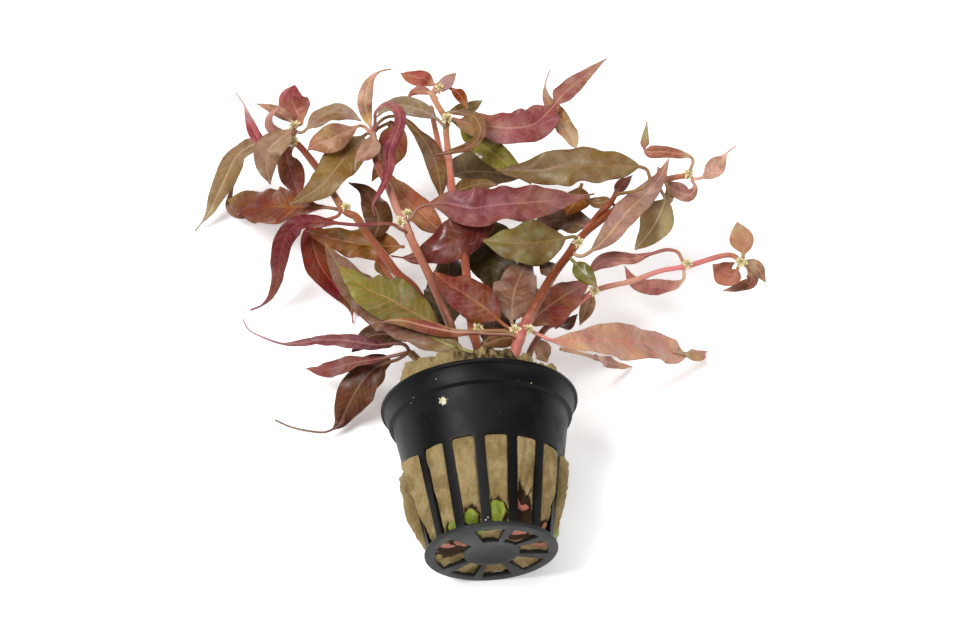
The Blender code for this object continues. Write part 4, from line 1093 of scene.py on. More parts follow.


# The colours along each stem from its foot to its end: its own colour with painted light and shade, lighter
# and darker where light falls on it.
STEM_COLOURS_AND_PAINTED_LIGHT: dict[str, list[tuple[float, Colour]]] = {
    "right_stem": [(0.0, (0.4, 0.19, 0.09)), (0.14, (0.66, 0.17, 0.16)), (0.27, (0.33, 0.08, 0.035)), (0.42,
        (0.22, 0.045, 0.014)), (0.55, (0.33, 0.08, 0.03)), (0.72, (0.31, 0.06, 0.02)), (0.86,
        (0.38, 0.1, 0.05)), (1.0, (0.65, 0.24, 0.12))],
    "low_right_stem": [(0.0, (0.37, 0.15, 0.085)), (0.22, (0.28, 0.09, 0.05)), (0.42, (0.85, 0.22, 0.23)),
        (0.52, (0.57, 0.2, 0.14)), (0.62, (0.78, 0.37, 0.25)), (0.8, (0.9, 0.21, 0.25)), (0.92,
        (0.65, 0.2, 0.14)), (1.0, (0.68, 0.33, 0.17))],
    "centre_stem": [(0.0, (0.26, 0.08, 0.025)), (0.32, (0.43, 0.1, 0.055)), (0.5, (0.3, 0.075, 0.045)),
        (0.62, (0.61, 0.15, 0.1)), (0.72, (0.8, 0.27, 0.19)), (0.84, (0.54, 0.21, 0.08)), (1.0,
        (0.8, 0.36, 0.22))],
    "mid_left_stem": [(0.0, (0.33, 0.11, 0.055)), (0.2, (0.24, 0.075, 0.035)), (0.36, (0.34, 0.11, 0.065)),
        (0.5, (0.51, 0.17, 0.1)), (0.66, (0.7, 0.3, 0.23)), (0.78, (0.47, 0.15, 0.11)), (0.88,
        (0.33, 0.07, 0.055)), (1.0, (0.48, 0.22, 0.12))],
    "left_stem": [(0.0, (0.22, 0.05, 0.018)), (0.22, (0.14, 0.025, 0.008)), (0.4, (0.31, 0.065, 0.03)), (0.6,
        (0.39, 0.12, 0.05)), (0.82, (0.37, 0.11, 0.05)), (0.92, (0.23, 0.04, 0.016)), (1.0,
        (0.43, 0.12, 0.055))],
    "low_left_stem": [(0.0, (0.26, 0.16, 0.07)), (1.0, (0.2, 0.1, 0.05))],
}


@dataclass(frozen=True)
class StemLook(Dress):
    """The finish of a stem: colours that change along it, with painted light and shade among them, and fine
    lengthwise streaks.
    """

    stops: list[tuple[float, Colour]]
    pale_streak: Colour = (0.7, 0.38, 0.28)
    dark_streak: Colour = (0.16, 0.04, 0.02)
    joint: Colour = (0.5, 0.3, 0.15)
    rough: float = 0.34

    def paint(self, finish: Finish) -> dict[str, Value]:
        """Return what goes into the shader's sockets."""
        share, around, joint = finish.carried("blade")
        along, _, _ = finish.carried("ribs")
        stops = [(place, pigment(tint)) for place, tint in self.stops]
        colour = finish.node("ShaderNodeValToRGB", {"stops": stops},
                             {0: share + (finish.grain(5.0 * MM) - 0.5) * 0.1}, "Color")
        flow = finish.node("ShaderNodeCombineXYZ", values={0: around * 2.6, 1: along * 0.12, 2: share})
        streaks = finish.grain(1.0, 4.0, 0.6, source=flow)
        fine = finish.grain(0.5 * MM, 3.0)
        colour = finish.layers(
            colour, (streaks.step(0.55, 0.72) * 0.28, self.pale_streak),
            (streaks.step(0.45, 0.28) * 0.4, self.dark_streak), (joint.step(0.4, 0.95) * 0.3, self.joint))
        tone = finish.node("ShaderNodeBrightContrast",
                           values={0: colour, "Bright": (fine - 0.5) * 0.08, "Contrast": 0.0})
        return {"Base Color": tone, "Roughness": (fine - 0.5) * 0.25 + self.rough, "Specular IOR Level": 0.25,
                "Normal": finish.relief(streaks + fine * 0.4, 0.35, 0.1 * MM)}


@dataclass(frozen=True)
class PaperLook(Dress):
    """The finish of the flower heads' dry bracts."""

    root: Colour = (0.5, 0.38, 0.12)
    tip: Colour = (0.92, 0.83, 0.52)
    aged: Colour = (0.62, 0.4, 0.2)

    def paint(self, finish: Finish) -> dict[str, Value]:
        """Return what goes into the shader's sockets."""
        share, _, tint = finish.carried("blade")
        fine = finish.grain(0.3 * MM, 3.0)
        ripe = (share + (fine - 0.5) * 0.5).step(0.15, 0.8)
        colour = finish.layers(self.root, (ripe, self.tip), (tint * 0.25, self.aged))
        return {"Base Color": colour, "Roughness": fine * 0.3 + 0.45, "Specular IOR Level": 0.35,
                "Normal": finish.relief(fine, 0.3, 0.08 * MM)}


@dataclass(frozen=True)
class WoolLook(Dress):
    """The finish of the damp rock wool, with painted shade in the creases of its fibres, in its gaps and
    sunken slots and holes, and on its top behind the stems.
    """

    main: Colour = (0.245, 0.17, 0.066)
    pale: Colour = (0.37, 0.275, 0.125)
    # Painted shade: the colour laid into the troughs of the fibre relief, where the creases fall into shade.
    painted_shade: Colour = (0.085, 0.05, 0.015)
    olive: Colour = (0.16, 0.115, 0.03)
    hair: Colour = (0.52, 0.42, 0.24)
    # gap is the colour of the painted shade in the wool's gaps, sunken slots and base holes.
    gap: Colour = (0.035, 0.016, 0.006)
    leaf_tints: tuple[Colour, Colour] = ((0.15, 0.19, 0.02), (0.24, 0.27, 0.035))
    shoot_tints: tuple[Colour, Colour] = ((0.42, 0.15, 0.09), (0.34, 0.09, 0.06))

    def paint(self, finish: Finish) -> dict[str, Value]:
        """Return what goes into the shader's sockets."""
        broad = finish.grain(7.0 * MM, 4.0, 0.6, warp=0.5)
        fibres = finish.grain(1.0 * MM, 5.0, 0.7, source=finish.stretched((3.0, 0.7, 1.6)), warp=1.2)
        pores = finish.cells(1.3 * MM, edges=False)
        hairs = finish.grain(0.45 * MM, 3.0, 0.7, source=finish.stretched((2.2, 0.35, 1.2)), warp=0.6)
        # The third carried number is painted shade: in the gaps, the sunken slots and holes, and the mouth
        # behind the stems.
        green, pink, painted_shade = finish.carried("scraps")
        # The fibres' troughs get painted shade, and the carried mask lays painted shade into the gaps and
        # recesses.
        colour = finish.layers(
            self.main, (broad.step(0.38, 0.62), self.pale), (fibres.step(0.52, 0.3) * 0.6, self.painted_shade),
            (broad.step(0.36, 0.24) * 0.6, self.olive), (hairs.step(0.6, 0.72) * 0.45, self.hair),
            (painted_shade.step(0.25, 0.75), self.gap),
            (green.step(0.35, 0.6), finish.mix(broad.step(0.42, 0.58), *self.leaf_tints)),
            (pink.step(0.35, 0.6), finish.mix(fibres.step(0.4, 0.6), *self.shoot_tints)))
        smooth = (green + pink).step(0.35, 0.6)
        height = (fibres + pores * 0.3 + hairs * 0.4) * (1.0 - smooth * 0.8)
        rough = (fibres - 0.5) * 0.2 + 0.85 - smooth * 0.5
        return {"Base Color": colour, "Roughness": rough, "Specular IOR Level": 0.2,
                "Normal": finish.relief(height, 0.9, 0.4 * MM)}


# Turn in degrees, distance from the base in mm and size in mm of each pale mark on the pot: bits on the
# plastic, and painted glints of water drops at the four turns from 289 to 304 degrees
POT_FLECKS_AND_GLINTS: list[Place] = [
    (243.2, 36.6, 1.05), (242.1, 42.5, 0.18), (289.0, 44.9, 0.16), (303.2, 45.1, 0.2), (292.8, 40.4, 0.2),
    (301.8, 40.3, 0.22), (264.6, 2.0, 0.26), (266.5, 2.6, 0.22),
]


@dataclass(frozen=True)
class PlasticLook(Dress):
    """The finish of the pot: black moulded plastic with handling marks and pale specks of dust."""

    main: Colour = (0.004, 0.004, 0.004)
    film: Colour = (0.01, 0.01, 0.0095)
    scratch: Colour = (0.07, 0.07, 0.068)
    speck: Colour = (0.42, 0.4, 0.36)
    fleck_and_glint: Colour = (0.62, 0.58, 0.4)
    dust: Colour = (0.036, 0.037, 0.036)
    rough: float = 0.4

    def paint(self, finish: Finish) -> dict[str, Value]:
        """Return what goes into the shader's sockets."""
        ragged = finish.grain(0.6 * MM, 3.0, 0.7)
        broad = finish.grain(9.0 * MM, 4.0, 0.6)
        fine = finish.grain(0.25 * MM, 3.0, 0.6)
        scratch = finish.grain(1.0 * MM, 3.0, 0.6, source=finish.stretched((0.25, 2.2, 2.2)), warp=0.3)
        specks = finish.cells(2.4 * MM, edges=False).step(0.085, 0.045) * broad.step(0.52, 0.6)
        film = broad.step(0.44, 0.66)
        colour = finish.layers(
            self.main, (film * 0.45, self.film), (scratch.step(0.66, 0.74) * 0.3, self.scratch),
            (specks * 0.8, self.speck))
        # Pale marks, partly bits on the plastic and partly painted glints of water drops near the mouth.
        for turn, along, size in POT_FLECKS_AND_GLINTS:
            away = finish.distance(POT.on_wall(turn, along)) / (size * MM)
            colour = finish.mix((away + (ragged - 0.5) * 3.6).step(1.15, 0.75), colour, self.fleck_and_glint)
        # The base's outer face is mixed towards a paler grey, fading out about 1 to 2 mm above it.
        plate = (finish.distance(POT.point(0.0, 0.0, -1.0)) - 1.0).step(2.2 * MM, 0.9 * MM)
        colour = finish.mix(plate * (fine * 0.4 + 0.55), colour, self.dust)
        rough = film * 0.14 + (fine - 0.5) * 0.16 + specks * 0.3 + self.rough
        return {"Base Color": colour, "Roughness": rough, "Specular IOR Level": 0.12,
                "Normal": finish.relief(fine + scratch * 0.6, 0.12, 0.1 * MM)}


def roughness_of(points: np.ndarray, size: float, octaves: int = 3, shift: float = 0.0) -> np.ndarray:
    """Read fractal noise at points.

    Args:
        points: The points, as rows.
        size: The size of the largest patches, in metres.
        octaves: How many layers it has.
        shift: What moves the noise, so that pieces differ.

    Returns:
        One value around 0 for each point.
    """
    places = points / size + shift
    return np.array([solid_noise.fractal(Vector(place), 0.8, 2.1, octaves) for place in places])


def frames_along(points: np.ndarray, facing: np.ndarray) -> tuple[np.ndarray, np.ndarray]:
    """Work out a frame at each point of a line.

    Args:
        points: The points, as rows.
        facing: The direction that each frame's face turns to as far as it can.

    Returns:
        The directions to the side and out of the face, as rows.
    """
    ahead = unit(np.gradient(points, axis=0))
    side = unit(np.cross(ahead, facing))
    for index in range(1, len(side)):
        if side[index] @ side[index - 1] < 0.0:
            side[index] = -side[index]
    if np.median(np.sum(np.cross(side, ahead) * facing, axis=1)) < 0.0:
        side = -side
    return side, np.cross(side, ahead)


def triples(first: Any, second: Any, third: Any) -> np.ndarray:
    """Join three numbers or grids of them into rows of three."""
    return np.stack(np.broadcast_arrays(first, second, third), axis=-1).reshape(-1, 3)


def stem_lines() -> list[np.ndarray]:
    """Return a dense line for each stem and shoot, which leaves are joined to."""
    lines = []
    for stem in STEMS.values():
        lines.append(smooth_path(VIEW.seen(stem.path), 120))
        lines += [smooth_path(VIEW.seen(shoot), 60) for shoot in stem.shoots]
    return lines


STEM_LINES = stem_lines()
JOIN_REACH = 6.5 * MM


def joined(route: np.ndarray) -> np.ndarray:
    """Start a leaf's path inside the nearest stem, if there is one near enough.

    Args:
        route: The leaf's path, as rows.

    Returns:
        The path with the point in the stem in front.
    """
    near = [line[np.argmin(np.linalg.norm(line - route[0], axis=1))] for line in STEM_LINES]
    gaps = [float(np.linalg.norm(point - route[0])) for point in near]
    best = int(np.argmin(gaps))
    if 0.8 * MM < gaps[best] < JOIN_REACH:
        return np.vstack([near[best], route])
    return route


# The lower edge of right_leaf_13, which is rolled over and lies on the blade
ROLLED_EDGE = Leaf("olive", 3.7, [(511, 335, 45.0), (492, 334, 46.4), (475, 333, 47.0), (452, 331, 46.3),
    (425, 326, 45.8), (400, 320, 44.6), (382, 322, 43.6)], fold=-26.0, petiole=0.05, peak=0.68, curl=0.5,
    look=Look((0.42, 0.12, 0.1), (0.28, 0.08, 0.055), base=(0.4, 0.11, 0.075), tip=(0.31, 0.15, 0.07),
    rib=(0.6, 0.34, 0.28), ruffle=0.6))

# The tip of right_leaf_14, which is folded back and widens to its end
FOLDED_TIP = Leaf("peach", 4.4, [(673, 351, 12.2), (682, 353, 9.6), (692, 355, 6.2), (705, 352, 2.4)],
    fold=6.0, petiole=0.05, peak=0.74, look=Look((0.5, 0.36, 0.19), (0.56, 0.3, 0.19),
    tip=(0.62, 0.26, 0.19), rib=(0.6, 0.3, 0.22)))


@dataclass
class LeafPiece:
    """A fine leaf: a thin closed blade with a midrib, wavy margins and a round petiole."""

    name: str
    leaf: Leaf
    replaced: str
    columns: int = 17
    crowding: float = math.pi / 2 * 0.92
    spacing: float = 0.75 * MM
    lamina: float = 0.3 * MM
    margin_thinning: float = 0.65
    petiole_thickness: float = 0.85
    wave: float = 0.15
    wave_length: float = 9.0 * MM
    wave_drift: Pair = (17 * MM, 21 * MM)
    twist: float = 0.22
    twist_length: float = 26.0 * MM
    quilt: float = 0.04 * MM
    pucker: float = 0.38 * MM
    pucker_size: float = 5.0 * MM
    groove: float = 0.16 * MM
    groove_width: float = 0.35 * MM
    keel: float = 0.42 * MM
    keel_tip: float = 0.1 * MM
    keel_width: float = 0.4 * MM
    gather: float = 0.03
    gather_length: float = 3.3 * MM

    def half_widths(self, share: np.ndarray) -> np.ndarray:
        """Return half the blade's width at each share of the length, as in the solid."""
        leaf = self.leaf
        along = np.clip((share - leaf.petiole) / (1.0 - leaf.petiole), 0.0, 1.0)
        lobe = np.minimum(along / leaf.tail, 1.0)
        swell = np.sin(math.pi * lobe ** (math.log(0.5) / math.log(leaf.peak))).clip(0.0) ** 0.9
        if leaf.neck:
            swell = swell * (1.0 - NECK_DEPTH * peak_at(along, leaf.neck, NECK_REACH))
        least = PETIOLE_HALF * (1.0 - along) + TIP_HALF * along * 0.7
        return np.maximum(leaf.width * MM / 2 / SHOWN_WIDTH * swell, least)

    def margin_wave(self, run: np.ndarray, across: np.ndarray, phase: np.ndarray) -> np.ndarray:
        """Return how far the margins wave, as a share of half the width.

        Args:
            run: The distance along the leaf, as a column.
            across: Where each point is from the left margin at -1 to the right one at 1, as a row.
            phase: Random turns.

        Returns:
            The wave at each point.
        """
        left, right = run / self.wave_length, run / (self.wave_length * 1.2)
        left_drift, right_drift = (run / length for length in self.wave_drift)
        left_wave = np.sin(left * math.tau + phase[0] + np.sin(left_drift + phase[2]))
        right_wave = np.sin(right * math.tau + phase[1] + np.sin(right_drift + phase[3]))
        return np.where(across < 0, left_wave, right_wave) * self.wave

    def build(self) -> bpy.types.Object:
        """Make the leaf."""
        leaf = self.leaf
        look = leaf.look or LEAFLET_LOOKS[leaf.finish]
        given = VIEW.seen(leaf.path)
        route = joined(given)
        length = path_length(route)
        lead = length - path_length(given)
        stations = int(min(max(length / self.spacing, 24), 190))
        points = smooth_path(route, stations)
        run = np.linspace(0.0, length, stations)[:, None]
        share = np.clip((run - lead) / (length - lead), 0.0, 1.0)
        side, face = frames_along(points, VIEW.blade_face())
        half = self.half_widths(share)
        blade = eased(half, PETIOLE_HALF * 1.05, PETIOLE_HALF * 2.2)
        columns = np.linspace(-1.0, 1.0, self.columns)[None, :]
        across = np.sin(columns * self.crowding) / math.sin(self.crowding)
        fold = math.radians(leaf.fold)
        phase = np.random.default_rng(sum(map(ord, self.name))).uniform(0.0, math.tau, 7)
        twist = self.twist * np.sin(run / self.twist_length * math.tau + phase[5]) * blade
        over, along = np.sin(twist), np.cos(twist)
        side, face = side * along + face * over, face * along - side * over
        reach = half * across
        size = np.abs(across)
        wave = self.margin_wave(run, across, phase) * look.ruffle * half * size ** 2.2 * blade
        slant = VEIN_SLANT + size * VEIN_CURVE
        veins = (run - np.abs(reach) * slant) / VEIN_PITCH + (across > 0) * 0.5
        quilt = np.cos(veins * math.tau) * self.quilt * np.sin(size * math.pi) * blade
        cup = math.sin(fold) * np.abs(reach) - leaf.curl * half * size ** 2 * blade
        spots = triples(run, reach, phase[6] * self.wave_length)
        pucker = roughness_of(spots, self.pucker_size).reshape(reach.shape) * self.pucker * (0.3 + size)
        rise = cup + wave - quilt + pucker * blade
        gather = 1.0 + self.gather * np.sin(run / self.gather_length + phase[4] + across)
        breadth = reach * math.cos(fold) * gather
        middle = points[:, None] + side[:, None] * breadth[..., None] + face[:, None] * rise[..., None]
        thick = self.lamina / 2 * (1.0 - self.margin_thinning * size ** 3)
        groove = self.groove * peak_at(reach, 0.0, self.groove_width) * blade
        keel = (self.keel * (1.0 - share) + self.keel_tip) * peak_at(reach, 0.0, self.keel_width)
        stalk = np.sqrt(np.clip(1.0 - across ** 2, 0.0, 1.0)) * PETIOLE_HALF * self.petiole_thickness
        upper = (thick - groove) * blade + stalk * (1.0 - blade)
        lower = (thick + keel) * blade + stalk * (1.0 - blade)
        top = middle + face[:, None] * upper[..., None]
        bottom = middle - face[:, None] * lower[..., None]
        ring = np.concatenate([top, bottom[:, -2:0:-1]], axis=1)
        ring_across = np.concatenate([across, across[:, -2:0:-1]], axis=1)
        ring_side = np.concatenate([np.ones(self.columns), -np.ones(self.columns - 2)])
        vertices = np.vstack([ring.reshape(-1, 3), points[:1], points[-1:]])
        blades = triples(share, ring_across, ring_side)
        ribs = triples(run / MM, half * ring_across / MM, half / MM)
        carried = {
            "blade": np.vstack([blades, [[0.0, 0.0, 1.0], [1.0, 0.0, 1.0]]]),
            "ribs": np.vstack([ribs, [[0.0, 0.0, 0.5], [length / MM, 0.0, 0.3]]]),
        }
        piece = add_piece(self.name, vertices, tube_faces(stations, len(ring_side)), carried)
        settle(piece, look.build(f"{self.name}_finish"), leaf.finish, self.replaced)
        LOG.info("%s: %.0f mm long, %d stations", self.name, length / MM, stations)
        return piece


@dataclass
class StemPiece:
    """A stem with swollen joints, its side shoots, small leaves and flower heads."""

    name: str
    stem: Stem
    sides: int = 26
    spacing: float = 0.6 * MM
    buried: float = 7.0 * MM
    shoot_radius: Pair = (1.05, 0.8)
    joint_reach: float = 5.0 * MM
    joint_gap: float = 7.0 * MM
    joint_length: float = 1.3 * MM
    joint_swell: float = 0.2
    unevenness: float = 0.12 * MM
    uneven_size: float = 9.0 * MM
    ridge: float = 0.035
    flute: float = 0.02
    end_share: float = 0.6

    def joints(self, points: np.ndarray) -> list[float]:
        """Find where leaves, shoots and flower heads leave the stem.

        Args:
            points: The stem's line, as rows.

        Returns:
            Their distances along it, in metres.
        """
        starts = [VIEW.seen(leaf.path[:1])[0] for leaf in LEAVES.values()]
        starts += [VIEW.seen([bud])[0] for bud in self.stem.buds]
        starts += [VIEW.seen(shoot[:1])[0] for shoot in self.stem.shoots]
        run = np.linspace(0.0, path_length(points), len(points))
        places: list[float] = []
        for start in starts:
            gaps = np.linalg.norm(points - start, axis=1)
            place = float(run[np.argmin(gaps)])
            if gaps.min() < self.joint_reach and all(abs(place - other) > self.joint_gap for other in places):
                places.append(place)
        return places

    def tube(self, name: str, points: np.ndarray, radii: Pair, joints: Sequence[float],
             look: StemLook, whole: float = 1.0) -> bpy.types.Object:
        """Make one stem or shoot.

        Args:
            name: The piece's name.
            points: Its line, as rows.
            radii: Its radius at either end, in mm.
            joints: Where it is swollen, in metres along it.
            look: Its finish.
            whole: The share of the finish's colours that it runs through.

        Returns:
            The piece.
        """
        length = path_length(points)
        stations = int(max(length / self.spacing, 12))
        line = smooth_path(points, stations)
        run = np.linspace(0.0, length, stations)[:, None]
        side, face = frames_along(line, VIEW.blade_face())
        turn = np.linspace(0.0, math.tau, self.sides, endpoint=False)
        swell = sum((peak_at(run, place, self.joint_length) for place in joints), np.zeros(run.shape))
        swell = np.minimum(swell, 1.0)
        radius = np.interp(run, [0.0, length], radii) * MM * (1.0 + self.joint_swell * swell)
        ridges = 1.0 + self.ridge * np.cos(turn * 6) + self.flute * np.sin(turn * 4 + 1.0)
        bend = roughness_of(line, self.uneven_size, 2, len(name))[:, None] * self.unevenness
        out = side[:, None] * np.cos(turn)[:, None] + face[:, None] * np.sin(turn)[:, None]
        rings = line[:, None] + out * (radius * ridges + bend)[..., None]
        rings[-1] = line[-1] + (rings[-1] - line[-1]) * self.end_share
        vertices = np.vstack([rings.reshape(-1, 3), line[:1], line[-1:]])
        blades = triples(run / length * whole, np.abs(turn / math.pi - 1.0), swell)
        ribs = triples(run / MM, 0.0 * turn, 0.0)
        carried = {
            "blade": np.vstack([blades, [[0.0, 0.0, 0.0], [whole, 0.0, 0.0]]]),
            "ribs": np.vstack([ribs, [[0.0, 0.0, 0.0], [length / MM, 0.0, 0.0]]]),
        }
        piece = add_piece(name, vertices, tube_faces(stations, self.sides), carried)
        settle(piece, look.build(f"{name}_finish"), self.stem.finish, self.name)
        return piece

    def build(self) -> list[bpy.types.Object]:
        """Make the stem and everything that grows on it."""
        stem = self.stem
        foot = POT.point(stem.start[0] * MM, stem.start[1] * MM, POT.stem_foot)
        path = np.vstack([foot, VIEW.seen(stem.path)])
        path = np.vstack([path[0] + unit(path[0] - path[1]) * self.buried, path])
        dense = smooth_path(path, 240)
        look = StemLook(STEM_COLOURS_AND_PAINTED_LIGHT[self.name])
        pieces = [self.tube(f"{self.name}_tube", path, stem.radius, self.joints(dense), look)]
        for index, shoot in enumerate(stem.shoots, 1):
            points = VIEW.seen(shoot)
            start = dense[np.argmin(np.linalg.norm(dense - points[0], axis=1))]
            route = np.vstack([start, points])
            pieces.append(self.tube(f"{self.name}_shoot_{index}", route, self.shoot_radius, [], look))
        for index, leaflet in enumerate(stem.leaflets, 1):
            pieces.append(LeafPiece(f"{self.name}_leaflet_{index}", leaflet, self.name).build())
        for index, bud in enumerate(stem.buds, 1):
            pieces.append(FlowerHead(f"{self.name}_flower_head_{index}", bud, self).build())
        LOG.info("%s: %d pieces", self.name, len(pieces))
        return pieces


GOLDEN_TURN = 2.39996
BRACT_SIDES = 6

# How far along a bract each of its rows is, and the share of its width there
BRACT_ROWS: list[Pair] = [(0.05, 0.45), (0.45, 1.0), (0.78, 0.72), (1.0, 0.06)]


@dataclass
class FlowerHead:
    """A small head of pointed, papery bracts around a centre."""

    name: str
    place: Place
    parent: StemPiece
    bracts: int = 34
    size: float = 1.8 * MM
    thickness: float = 0.07 * MM
    keel: float = 0.35

    def build(self) -> bpy.types.Object:
        """Make the flower head."""
        centre = VIEW.seen([self.place])[0]
        rng = random.Random(sum(map(ord, self.name)))
        lean = unit(VIEW.blade_face() + np.array([rng.uniform(-0.4, 0.4) for _ in range(3)]))
        cross = unit(np.cross(lean, [0.3, 1.0, 0.2]))
        other = np.cross(lean, cross)
        vertices: list[np.ndarray] = []
        faces: list[list[int]] = []
        carried: list[list[float]] = []
        for index in range(self.bracts):
            height = 1.0 - 1.7 * (index + 0.5) / self.bracts
            turn = index * GOLDEN_TURN + rng.uniform(-0.3, 0.3)
            around = math.sqrt(max(1.0 - height * height, 0.0))
            way = unit(lean * (height + 0.25) + (cross * math.cos(turn) + other * math.sin(turn)) * around)
            wide = unit(np.cross(way, lean + cross * 0.01))
            up = np.cross(wide, way)
            length = self.size * rng.uniform(0.75, 1.25)
            half = length * rng.uniform(0.16, 0.24)
            tint = rng.random()
            start = len(vertices)
            for far, spread in BRACT_ROWS:
                middle = centre + way * length * far + up * length * 0.1 * math.sin(far * 3.0)
                keel = up * half * spread * self.keel
                upper = [(lane, 1.0, 0.0) for lane in (-1.0, 0.0, 1.0)]
                lower = [(lane, 0.95, self.thickness) for lane in (1.0, 0.0, -1.0)]
                for lane, narrowed, depth in upper + lower:
                    drop = (keel if lane == 0.0 else 0.0) + up * depth
                    vertices.append(middle + wide * half * spread * lane * narrowed - drop)
                    carried.append([far, lane, tint])
            sides = ring_faces(len(BRACT_ROWS), BRACT_SIDES)
            faces += [[start + corner for corner in side] for side in sides]
            faces.append([start + corner for corner in range(BRACT_SIDES)])
            faces.append([len(vertices) - 1 - corner for corner in range(BRACT_SIDES)])
        piece = add_piece(self.name, np.array(vertices), faces, {"blade": np.array(carried)})
        settle(piece, PaperLook().build(f"{self.name}_finish"), self.parent.stem.finish, self.parent.name)
        return piece


def arc(centre: Pair, radius: float, start: float, end: float, steps: int) -> list[Pair]:
    """List the points of an arc in a profile.

    Args:
        centre: Its middle, as radius and height.
        radius: Its radius.
        start: Where it starts, in degrees.
        end: Where it ends, in degrees.
        steps: How many spans it has.

    Returns:
        The points.
    """
    turns = [math.radians(start + (end - start) * step / steps) for step in range(steps + 1)]
    return [(centre[0] + radius * math.cos(turn), centre[1] + radius * math.sin(turn)) for turn in turns]


@dataclass
class PotPiece:
    """The slotted pot: a turned wall with rounded edges, cut by slots and wedge holes."""

    turns: int = 192
    edge: float = 0.22 * MM
    edge_angle: float = 50.0
    sharp_angle: float = 32.0
    rounding: float = 0.3 * MM
    above_slots: float = 26.4 * MM
    below_band: float = 38.9 * MM
    hole_step: float = 5.0
    hole_start: float = -2.0 * MM
    hole_depth: float = 6.0 * MM

    def profile(self) -> list[Pair]:
        """Return the wall's outline, as radius and height."""
        low, top, rounding = POT.floor, POT.height, self.rounding
        band_low = top - POT.band
        points = [(0.0, low), (POT.wall_at(low) - POT.wall, low)]
        points += [(POT.wall_at(self.above_slots) - POT.wall, self.above_slots)]
        points += [(POT.wall_at(band_low) - POT.wall, band_low - POT.wall)]
        points += [(POT.band_low - POT.wall, band_low)]
        points += arc((POT.band_top - POT.wall + rounding, top - rounding), rounding, 180.0, 90.0, 4)
        points += arc((POT.rim - POT.lip, top - POT.lip), POT.lip, 90.0, 0.0, 5)
        points += arc((POT.rim - rounding, top - POT.lip_tall), rounding, 0.0, -80.0, 4)
        points += [(POT.band_top, top - POT.lip_tall - POT.lip)]
        points += arc((POT.band_low - rounding, band_low + rounding), rounding, 10.0, -80.0, 5)
        points += [(POT.wall_at(band_low - POT.step), band_low - POT.step)]
        points += [(POT.wall_at(along), along) for along in (self.below_band, self.above_slots)]
        points += [(POT.wall_at(POT.plate + rounding), POT.plate + rounding)]
        points += arc((POT.base - rounding, POT.plate - rounding), rounding, 90.0, 0.0, 4)
        points += arc((POT.base - rounding, rounding), rounding, 0.0, -90.0, 4)
        points += [(POT.dish + POT.dish_slope, 0.0), (POT.dish, POT.dish_depth), (0.0, POT.dish_depth)]
        return [(radius * POT.flat, height) for radius, height in points]

    def wall(self) -> bpy.types.Object:
        """Turn the profile about the pot's axis."""
        form = bmesh.new()
        rings = []
        for radius, height in self.profile():
            count = self.turns if radius else 1
            turns = [math.tau * step / self.turns for step in range(count)]
            rings.append([form.verts.new((radius * math.cos(turn), radius * math.sin(turn), height))
                          for turn in turns])
        for ring, after in zip(rings, rings[1:]):
            for step in range(self.turns):
                corners = [ring[step % len(ring)], ring[(step + 1) % len(ring)],
                           after[(step + 1) % len(after)], after[step % len(after)]]
                form.faces.new(list(dict.fromkeys(corners)))
        return formed("net_pot_wall", form)

    def cutter(self, outlines: Sequence[Sequence[Vector]], way: Sequence[Vector]) -> bpy.types.Object:
        """Make one body that cuts through the wall.

        Args:
            outlines: The corners of each opening on its near side.
            way: What moves each outline to its far side.

        Returns:
            The cutter.
        """
        form = bmesh.new()
        for outline, push in zip(outlines, way):
            near = [form.verts.new(corner) for corner in outline]
            far = [form.verts.new(corner + push) for corner in outline]
            form.faces.new(near)
            form.faces.new(far[::-1])
            for index in range(len(near)):
                after = (index + 1) % len(near)
                form.faces.new((near[index], far[index], far[after], near[after]))
        return formed("pot_cutter", form)

    def slots(self) -> bpy.types.Object:
        """Return the cutter of the slots in the side."""
        corner = (POT.slot_wide / 2 - POT.slot_round, POT.slot_top - POT.slot_round)
        right = arc(corner, POT.slot_round, 0.0, 90.0, 5)
        top = right + [(-across, along) for across, along in reversed(right)]
        low = [(-POT.slot_narrow / 2, POT.slot_low), (POT.slot_narrow / 2, POT.slot_low)]
        outlines, ways = [], []
        for index in range(POT.slots):
            turn = Matrix.Rotation(math.radians(POT.slot_turn) + math.tau * index / POT.slots, 3, "Z")
            inner = POT.rim * 0.4
            outlines.append([turn @ Vector((inner, across, along)) for across, along in low + top])
            ways.append(turn @ Vector((POT.rim, 0.0, 0.0)))
        return self.cutter(outlines, ways)

    def holes(self) -> bpy.types.Object:
        """Return the cutter of the wedge holes in the base."""
        outlines = []
        for middle, spread in BASE_HOLES:
            steps = math.ceil(spread / self.hole_step)
            turns = [math.radians(middle - spread / 2 + spread * step / steps) for step in range(steps + 1)]
            corners = [(POT.hole_out, turn) for turn in turns]
            corners += [(POT.hole_in, turn) for turn in reversed(turns)]
            outlines.append([Vector((radius * math.cos(turn), radius * math.sin(turn), self.hole_start))
                             for radius, turn in corners])
        return self.cutter(outlines, [Vector((0.0, 0.0, self.hole_depth))] * len(outlines))

    def apply(self, pot: bpy.types.Object) -> None:
        """Turn the pot's modifier into its mesh."""
        shape = pot.evaluated_get(bpy.context.evaluated_depsgraph_get())
        pot.data = bpy.data.meshes.new_from_object(shape)
        pot.modifiers.clear()

